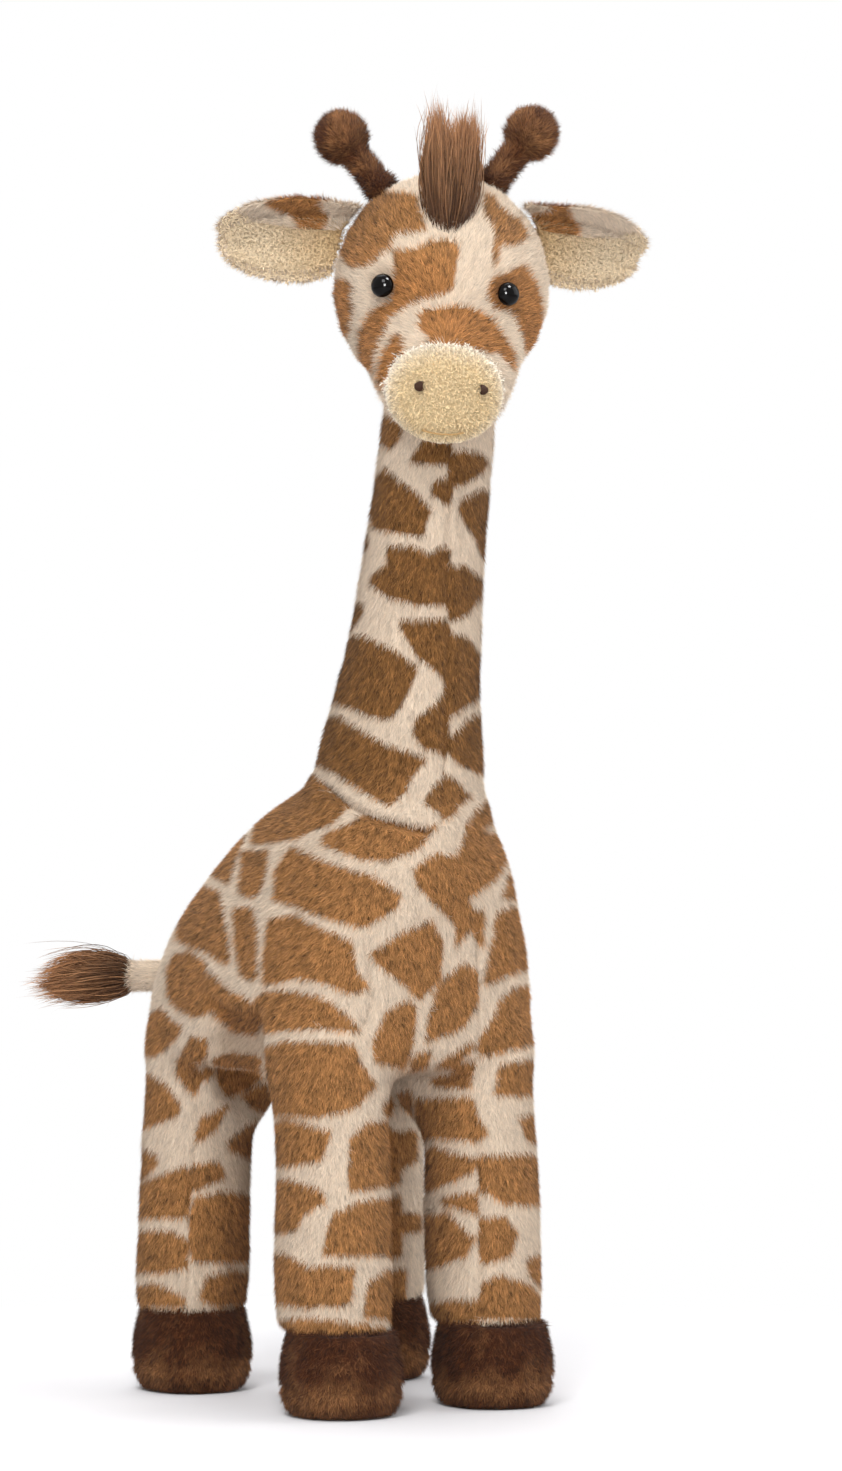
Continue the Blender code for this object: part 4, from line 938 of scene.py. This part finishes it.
# Nostrils and mouth. Two satin-stitched knots and one thin line, embroidered through the fleece
# and pulled into it: short threads side by side for each knot, a twisted pair for the mouth.
knot_threads, thread_gap, thread_radius = 7, 0.0006, 0.00036
knot_half_width, knot_half_height, knot_crown, knot_lift = 0.0026, 0.0021, 0.0012, 0.0004
thread_sides = 6


def twisted_thread(name, dark, light):
    """Spun polyester thread: a soft sheen with slanting bands, one to each 0.8 mm of its twist."""
    finish, tree, shader = new_finish(name, 0.6)
    twist = add_node(tree, "TexWave", Scale=400.0, Distortion=2.0).outputs["Fac"]
    strands = add_node(tree, "Mix", {"data_type": "RGBA"}, _0=twist, _6=dye(dark), _7=dye(light))
    tree.links.new(strands.outputs[2], shader.inputs["Base Color"])
    return finish


dark_thread = twisted_thread("dark_polyester_thread", "#2a1a12", "#4a3022")
tan_thread = twisted_thread("tan_polyester_thread", "#9c7c50", "#b59566")
for side in ("left", "right"):
    low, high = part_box("nostril_stitch_" + side)
    middle = np.array((low + high) / 2)
    out = unit(middle - muzzle_middle)
    across = unit(np.cross(out, (0, 0, 1)))
    down = np.cross(across, out)
    mesh = bpy.data.meshes.new("nostril")
    with shaping(mesh) as shape:
        for step in range(knot_threads):
            offset = (step - knot_threads // 2) * thread_gap
            reach = knot_half_height * math.sqrt(1 - (offset / knot_half_width) ** 2)
            rings = []
            for way in np.linspace(-1, 1, 7):
                crown = knot_crown * math.sqrt(max(0, 1 - way * way)) + knot_lift
                centre = middle + across * offset + down * way * reach + out * crown
                rings.append([
                    shape.verts.new(centre + (across * math.cos(turn) + out * math.sin(turn)) * thread_radius)
                    for turn in np.linspace(0, math.tau, thread_sides + 1)[:-1]])
            for first, second in zip(rings, rings[1:]):
                for corner in range(thread_sides):
                    after = (corner + 1) % thread_sides
                    shape.faces.new((first[corner], first[after], second[after], second[corner]))
        bmesh.ops.recalc_face_normals(shape, faces=shape.faces)
    mesh.shade_smooth()
    new_piece(
        "nostril_" + side, mesh, dark_thread, "head", stands_for=("nostril_stitch_" + side,))
mouth = cad_mesh("mouth_stitch")
mouth.materials.clear()
mouth.materials.append(tan_thread)


# Ears. Each is an outer leaf of the printed plush and a lining of curly fleece, sewn together round
# the edge, turned and left nearly flat. The leaf folds forward over the top of the hollow in a band
# that narrows towards the tip, and the ear is gathered into the head's side seam.
ear_curl = dict(length=0.003, width=0.0005, curl=2.0)
band_reach, band_heights = (0.0, 0.02, 0.038, 0.05), (0.001, 0.003, 0.0075, 0.02)
band_lap, lining_clear, leaf_clear = 0.0006, 0.0009, 0.0001
ear_grow, ear_warmth, ear_fill = 0.4, 0.95, 0.3
fleece_reach, fleece_palest = 0.06, 0.55

# The same sherpa fleece in deeper colours, as painted shade in the ear's hollow, and deeper still towards the
# root.
shaded_ear_fleece = dyed_pile("cream_ear_fleece", "#d2b07e", "#f7ead0", 0.9, 2.5, 0.13, root=0.8, end=1.12)

for number, side in enumerate(("left", "right")):
    body = "ear_" + side
    root = np.array(joints[body + "_flap"]["pos_m"])
    leaf = cloth_over(
        "ear_leaf_" + side, ["ear_outer_" + side, "ear_lining_" + side], voxel=0.001, smoothing=6,
        inset=0.0006)
    leaf_solid, lining_solid = (tree_of(cad_mesh("ear_" + layer + side)) for layer in ("outer_", "lining_"))
    upper = np.array(joints[body + "_flap"]["axis"])
    upper = upper * np.sign(upper[2])
    facing = unit(np.cross(points_of(leaf).mean(0) - root, upper))
    facing = -facing * np.sign(facing @ np.array(level))

    def nap_of_ear(points, normals):
        return unit(points - root)

    def nap_of_rim(points, normals):
        """Outwards along the ear, and over its rim into the hollow."""
        return unit(points - root) - upper * 0.8 * (normals @ facing > -0.2)[:, None]

    def nap_of_band(points, normals):
        return unit(points - root) + upper * 0.7

    def above_fold(points):
        """How far points lie above the lower edge of the folded-over band."""
        fold = np.interp(np.linalg.norm(points - root, axis=1), band_reach, band_heights)
        return (points - root) @ upper - fold

    def off_lining(points):
        return gap_to(lining_solid, points) > lining_clear

    def is_fleecy(points, normals):
        return (normals @ facing > -0.3) & (above_fold(points) < 0)

    def is_plush(points, normals):
        return off_lining(points) & ~is_fleecy(points, normals)

    def is_edge(points, normals):
        return off_lining(points) & is_fleecy(points, normals)

    def is_lining(points, normals):
        return (gap_to(leaf_solid, points) > leaf_clear) & (above_fold(points) < 0)

    def is_band(points, normals):
        return (normals @ facing > -0.4) & (above_fold(points) > -band_lap)

    def fleece_warmth(mesh):
        return np.clip(np.linalg.norm(points_of(mesh) - root, axis=1) / fleece_reach, 0.0, fleece_palest)

    print_coat(leaf, head_patches, nap_of_ear, grow=ear_grow)
    store(leaf, warmth=ear_warmth)
    clothed(
        "ear_leaf_" + side, leaf, body, "patterned_plush", count=20000, seed=40 + number,
        stands_for=("ear_outer_" + side,), fill=ear_fill, nap=nap_of_rim, length=hair_length,
        width=hair_width, lift=hair_lift, material=plush, wanted=is_plush)
    lining = cloth_over(
        "ear_lining_skin_" + side, ["ear_lining_" + side], voxel=0.0007, smoothing=3, inset=0.0002)
    store(lining, warmth=fleece_warmth(lining), tone=0.5, tip=0.35)
    new_piece(
        "ear_lining_cloth_" + side, lining, shaded_ear_fleece, body,
        stands_for=("ear_lining_" + side,))
    curls = curled_pile(
        "ear_curls_" + side, lining, count=4600, seed=50 + number, wanted=is_lining, **ear_curl)
    new_piece("ear_curls_" + side, curls, shaded_ear_fleece, body)
    print_coat(lining, head_patches, nap_of_ear, grow=ear_grow)
    store(lining, warmth=ear_warmth)
    band = short_pile(
        "ear_band_" + side, lining, count=11000, seed=58 + number, nap=nap_of_band, length=0.004,
        width=hair_width, lift=hair_lift, wanted=is_band)
    new_piece("ear_band_" + side, band, plush, body)
    store(lining, warmth=fleece_warmth(lining), tone=0.5, tip=0.35)
    store(leaf, warmth=fleece_warmth(leaf))
    edge_curls = curled_pile(
        "ear_edge_" + side, leaf, count=9000, seed=55 + number, wanted=is_edge, **ear_curl)
    new_piece("ear_edge_" + side, edge_curls, shaded_ear_fleece, body)
    store(leaf, warmth=0.6)


# Horns. Sewn tubes of short brown plush with round heads, stuffed hard and set into the seam of
# the crown. Their nap stands up, and is brushed towards the tip.
horn_tones = {"left": 0.36, "right": 0.26}

# Short polyester plush, piece-dyed dark brown: matt, nearly black at the roots as painted shade,
# with a painted highlight on the tips, and mottled lighter and darker in blooms of 3 to 13 mm.
brown_plush = dyed_pile("brown_short_plush", "#4c2812", "#966740", 0.85, 0.714, 0.6, root=0.45, end=1.5)

for number, side in enumerate(("left", "right")):
    body = "horn_" + side
    root = np.array(joints[body + "_bend"]["pos_m"])
    skin = cloth_over("horn_skin_" + side, [body], voxel=0.0009, smoothing=3, inset=0.0014)
    points = points_of(skin)
    bloom = noise_at(points, 130) + 0.6 * noise_at(points, 340)
    climb = np.linalg.norm(points - root, axis=1) - 0.02
    warmth = np.clip(horn_tones[side] + bloom * 0.6 + climb * 7, 0, 1)
    store(skin, patch_edge=0.0, warmth=warmth, tone=0.5, tip=0.3)

    def nap_of_horn(points, normals):
        return unit(points - root) + np.array((0.1, 0.2, 0))

    clothed(
        "horn_cloth_" + side, skin, body, "brown_short_plush", count=11000, seed=60 + number,
        stands_for=(body,), fill=0.95, nap=nap_of_horn, length=0.0034, width=0.00042, lift=math.radians(46),
        material=brown_plush, stray=0.5)


# Hooves. The stuffed ends of the legs, cut from the same dense brown plush and sewn to a flat sole.
# The seam round the sole sinks in, and a painted sheen lightens the nap in a band along it.
hoof_top, sole_seam = 0.0395, 0.0125
seam_width, sole_sink = 0.0012, 0.0009
hoof_clear = 0.0004
seam_sheen_drop, seam_sheen_width, seam_sheen_share = 0.002, 0.006, 0.62


def nap_of_hoof(points, normals):
    return np.broadcast_to((0, 0.15, -1.0), points.shape)


for number, leg in enumerate(leg_names):
    hoof_nodes = [leg + "_hoof", leg + "_sole", leg + "_leg_filling"]
    skin = cloth_over(
        "hoof_skin_" + leg, hoof_nodes, voxel=0.0014, smoothing=5, inset=0.0011, lumps=0.0006)
    hoof_mesh = part_of("hoof_cloth_" + leg, skin, lambda points: points[:, 2] < hoof_top)
    points = points_of(hoof_mesh)
    seam_gap = points[:, 2] - sole_seam
    groove = np.exp(-(seam_gap / seam_width) ** 2) * sole_sink
    points -= normals_of(hoof_mesh) * groove[:, None]
    points[:, 2] = np.maximum(points[:, 2], hoof_clear)
    move_points(hoof_mesh, points)
    # Painted sheen: the nap is lighter in a band along the sole's seam, centred 2 mm below it.
    pale = np.exp(-((seam_gap + seam_sheen_drop) / seam_sheen_width) ** 2) * seam_sheen_share
    bloom = (noise_at(points, 75) + 0.7 * noise_at(points, 240)) * 0.5
    store(hoof_mesh, patch_edge=0.0, warmth=np.clip(pale + bloom, 0, 1), tone=0.5, tip=0.25)
    clothed(
        "hoof_cloth_" + leg, hoof_mesh, leg + "_leg", "brown_short_plush", count=22000, seed=70 + number,
        stands_for=(leg + "_hoof", leg + "_sole"), fill=0.95, nap=nap_of_hoof, length=0.003, width=0.0004,
        lift=math.radians(36), material=brown_plush, stray=0.5)


# Forelock. A thick tuft of long pile, cut from fur cloth and sewn into the seam of the brow. It
# stands up between the horns, and its locks cling together at the root, spread, and end in two
# peaks. Where it springs and how high it reaches are places in the picture.
brow_x, brow_y = 449, 238
patch_half_width, patch_height, patch_round = 26, 62, 32
crown_y, crown_ragged = 114, 52
peaks = ((26, -14), (18, 15))  # the height of each over the crown, and how far it stands aside
lock_width = 0.00034
lock_count = int(5200 * density)

# Long acrylic pile, steamed straight: a soft gloss along each hair, dark at the root as painted
# shade and paler towards the tip, where a painted highlight lightens it further.
long_pile = dyed_pile("brown_long_pile", "#4e301e", "#bb885e", 0.55, 1.11, 0.4, 0.5, root=0.48)


def long_locks(name, roots, ways, lengths, spread, seed, warmth, droop=0.0, swell=0.0, paler=0.0):
    """Long hairs from their roots, gathered into 90 locks, in a mesh of curved blades."""
    chance = np.random.default_rng(seed)
    count = len(roots)
    middles = roots[chance.integers(0, count, 90)]
    lock = np.argmin(np.linalg.norm(roots[:, None] - middles[None], axis=2), 1)
    cling = (middles[lock] - roots) * 0.7
    lean = chance.normal(0, spread, (lock.max() + 1, 3))[lock] + chance.normal(0, spread * 0.3, (count, 3))
    lean[chance.random(count) < 0.05] *= 1.8
    shares = np.linspace(0, 1, 8)
    bow = chance.normal(0, 0.10, (count, 3))
    lines = roots[:, None] + lengths[:, None, None] * (
        ways[:, None] * shares[None, :, None] + lean[:, None] * (shares ** 1.6)[None, :, None]
        + bow[:, None] * np.sin(shares * math.pi)[None, :, None] * 0.5
        + np.broadcast_to(droop, (count, 3))[:, None] * (shares ** 2.2)[None, :, None]
        + np.broadcast_to(swell, (count, 3))[:, None] * (np.sqrt(shares) * (1 - shares))[None, :, None])
    lines += cling[:, None] * (shares ** 1.3)[None, :, None]
    sides = unit(np.cross(ways, chance.normal(0, 1, (count, 3))))
    tone = chance.random(count)
    values = {"tone": tone, "warmth": np.clip(chance.normal(warmth, 0.14, count) + paler, 0, 1)}
    widths = lock_width * np.array((0.9, 1, 1, 1, 0.95, 0.85, 0.6, 0))
    return hair_mesh(name, lines, sides, widths, None, values)


def sight_line(x, y):
    """The way from the camera to a place in the picture."""
    right, above = (x - picture_width / 2) / picture_scale, (picture_height / 2 - y) / picture_scale
    return forward + aside * right + upward * above


lock_points = points_of(cad_mesh("forelock"))
lock_root = lock_points[lock_points[:, 2] < lock_points[:, 2].min() + 0.012].mean(0)
lock_top = lock_points[lock_points[:, 2] > lock_points[:, 2].max() - 0.004].mean(0)
lock_way = unit(lock_top - lock_root)
chance = np.random.default_rng(80)
climb = chance.random(lock_count) ** 0.85
taper = np.sqrt(1 - np.maximum(0, 1 - patch_height * climb / patch_round) ** 2)
beside = chance.uniform(-1, 1, lock_count) * patch_half_width * taper
from_y = brow_y - patch_height * climb
head_tree = tree_of(head_skin)
found = [head_tree.ray_cast(camera_place, sight_line(x, y)) for x, y in zip(brow_x + beside, from_y)]
landed = np.array([hit[0] is not None for hit in found])
roots, out = (np.array([hit[part] for hit in found if hit[0] is not None]) for part in (0, 1))
beside, climb, from_y = beside[landed], climb[landed], from_y[landed]
ways = unit(lock_way + out * (0.42 - 0.3 * climb)[:, None] - np.array(aside) * (beside / 420)[:, None])
peak_heights = sum(height * np.exp(-((beside - middle) / 6) ** 2) for height, middle in peaks)
tip_y = crown_y - peak_heights + crown_ragged * chance.random(len(roots)) + np.abs(beside) * 0.4
locks = long_locks(
    "forelock_hair", roots - out * 0.001, ways, (from_y - tip_y) * (pixel / 1000), spread=0.06, seed=81,
    warmth=0.12)
new_piece("forelock_hair", locks, long_pile, "head", stands_for=("forelock",))


# Tail. A thin stuffed stem of the plush in plain cream, sewn into the rump where the cloth gathers,
# and a tuft of the long pile bound on its end, which swells out and hangs a little.
tuft_radius = 0.0062
tuft_count = int(3800 * density)
stem = cloth_over("tail_stem_skin", ["tail_stem"], voxel=0.0012, smoothing=3, inset=0.0014)
store(stem, patch_edge=-3.0, warmth=0.5, tone=0.5, tip=0.3)
tail_root = np.array(tail_seat)
tuft_points = points_of(cad_mesh("tail_tuft"))
tail_way = unit(tuft_points.mean(0) - tail_root)
tail_side = unit(np.cross(tail_way, (0, 0, 1)))
tail_up = np.cross(tail_side, tail_way)


def nap_of_tail(points, normals):
    return np.broadcast_to(tail_way, points.shape)


clothed(
    "tail_cloth", stem, "tail", "patterned_plush", count=10000, seed=90, stands_for=("tail_stem",), fill=0.9,
    nap=nap_of_tail, length=0.0045, width=0.0004, lift=math.radians(22), material=plush)
tuft_start = tail_root + tail_way * (((tuft_points - tail_root) @ tail_way).min() - 0.002)
tuft_length = ((tuft_points - tuft_start) @ tail_way).max()
chance = np.random.default_rng(91)
turn = chance.random(tuft_count) * math.tau
reach = np.sqrt(chance.random(tuft_count))
round_stem = tail_side[None] * np.cos(turn)[:, None] + tail_up[None] * np.sin(turn)[:, None]
offsets = round_stem * (reach * tuft_radius)[:, None]
lengths = tuft_length * (0.48 + 0.4 * chance.random(tuft_count)) * (1 - 0.15 * reach)
roots = tuft_start + offsets + tail_way[None] * (chance.random(tuft_count) * 0.008)[:, None]
tuft = long_locks(
    "tail_tuft_hair", roots, unit(tail_way[None] + offsets * 8), lengths, spread=0.1, seed=92, warmth=0.1,
    droop=np.array((0, 0, -0.1)), swell=offsets / tuft_radius * 0.3, paler=reach * 0.15)
new_piece("tail_tuft_hair", tuft, long_pile, "tail", stands_for=("tail_tuft",))


# Stage. A pale matt floor that turns white away from the toy and keeps its shadow, and a white
# surround. Nothing on it is part of the giraffe.
floor_mesh = bpy.data.meshes.new("floor")
floor_mesh.from_pydata([(-4, -4, 0), (4, -4, 0), (4, 4, 0), (-4, 4, 0)], [], [(0, 1, 2, 3)])
floor_finish, tree, shader = new_finish("pale_floor", 0.6)
speckle = add_node(tree, "TexNoise", Scale=per_metre(25), Detail=2.0).outputs["Fac"]
pale = add_node(tree, "Mix", {"data_type": "RGBA"}, _0=speckle, _6=dye("#e4e3e5"), _7=dye("#eae9eb"))
tree.links.new(pale.outputs[2], shader.inputs["Base Color"])
spot = add_node(tree, "NewGeometry").outputs["Position"]
from_toy = add_node(tree, "VectorMath", {"operation": "LENGTH"}, _0=spot).outputs["Value"]
far_off = add_node(
    tree, "MapRange", {"interpolation_type": "SMOOTHSTEP"}, Value=from_toy, From_Min=0.18, From_Max=0.45)
path = add_node(tree, "LightPath").outputs
seen = add_node(
    tree, "Math", {"operation": "MULTIPLY"}, _0=path["Is Camera Ray"], _1=far_off.outputs["Result"])
white = add_node(tree, "Emission", Color=dye("#ffffff"), Strength=1.0)
shown = add_node(tree, "MixShader", _0=seen.outputs[0], _1=shader.outputs[0], _2=white.outputs[0])
tree.links.new(shown.outputs[0], tree.nodes["Material Output"].inputs["Surface"])
floor_mesh.materials.append(floor_finish)
floor = bpy.data.objects.new("floor", floor_mesh)
scene.collection.objects.link(floor)
floor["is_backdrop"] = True

world = bpy.data.worlds.new("surround")
scene.world = world
world.use_nodes = True
tree = world.node_tree
surround = tree.nodes["Background"]
surround.inputs["Color"].default_value = dye("#f2f2f3")
surround.inputs["Strength"].default_value = 0.66
path = add_node(tree, "LightPath").outputs
seen = path["Is Camera Ray"]
for ray in ("Is Glossy Ray", "Is Transmission Ray"):
    seen = add_node(tree, "Math", {"operation": "MAXIMUM"}, _0=seen, _1=path[ray]).outputs[0]
white = add_node(tree, "Background", Color=dye("#ffffff"), Strength=1.0)
shown = add_node(tree, "MixShader", _0=seen, _1=surround.outputs[0], _2=white.outputs[0])
tree.links.new(shown.outputs[0], tree.nodes["World Output"].inputs["Surface"])

# Soft lamps, each with its place, its size and its power in watts. The two glints only show in the
# eyes' gloss and on the hairs.
lamps = (
    ("front", (-0.9, -1.66, 0.52), 0.18, 5.0),
    ("front_glint", (-0.98, -1.8, 0.62), 0.6, 80.0),
    ("high_glint", (0.31, -1.1, 2.13), 0.6, 80.0),
    ("key", (-1.1, -1.3, 1.7), 0.8, 33.0),
    ("fill", (1.5, -0.9, 1.1), 1.4, 14.0),
    ("top", (0.1, 0.5, 2.0), 1.2, 17.0),
)
lit_place = Vector((0, 0, 0.25))
for name, place, size, power in lamps:
    lamp = bpy.data.lights.new(name, "AREA")
    lamp.energy = power
    lamp.size = size
    holder = bpy.data.objects.new(name, lamp)
    holder.location = place
    holder.rotation_euler = (lit_place - Vector(place)).to_track_quat("-Z", "Y").to_euler()
    if "glint" in name:
        holder.visible_diffuse = holder.visible_camera = False
    scene.collection.objects.link(holder)

scene.view_settings.view_transform = "Standard"
low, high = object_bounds()
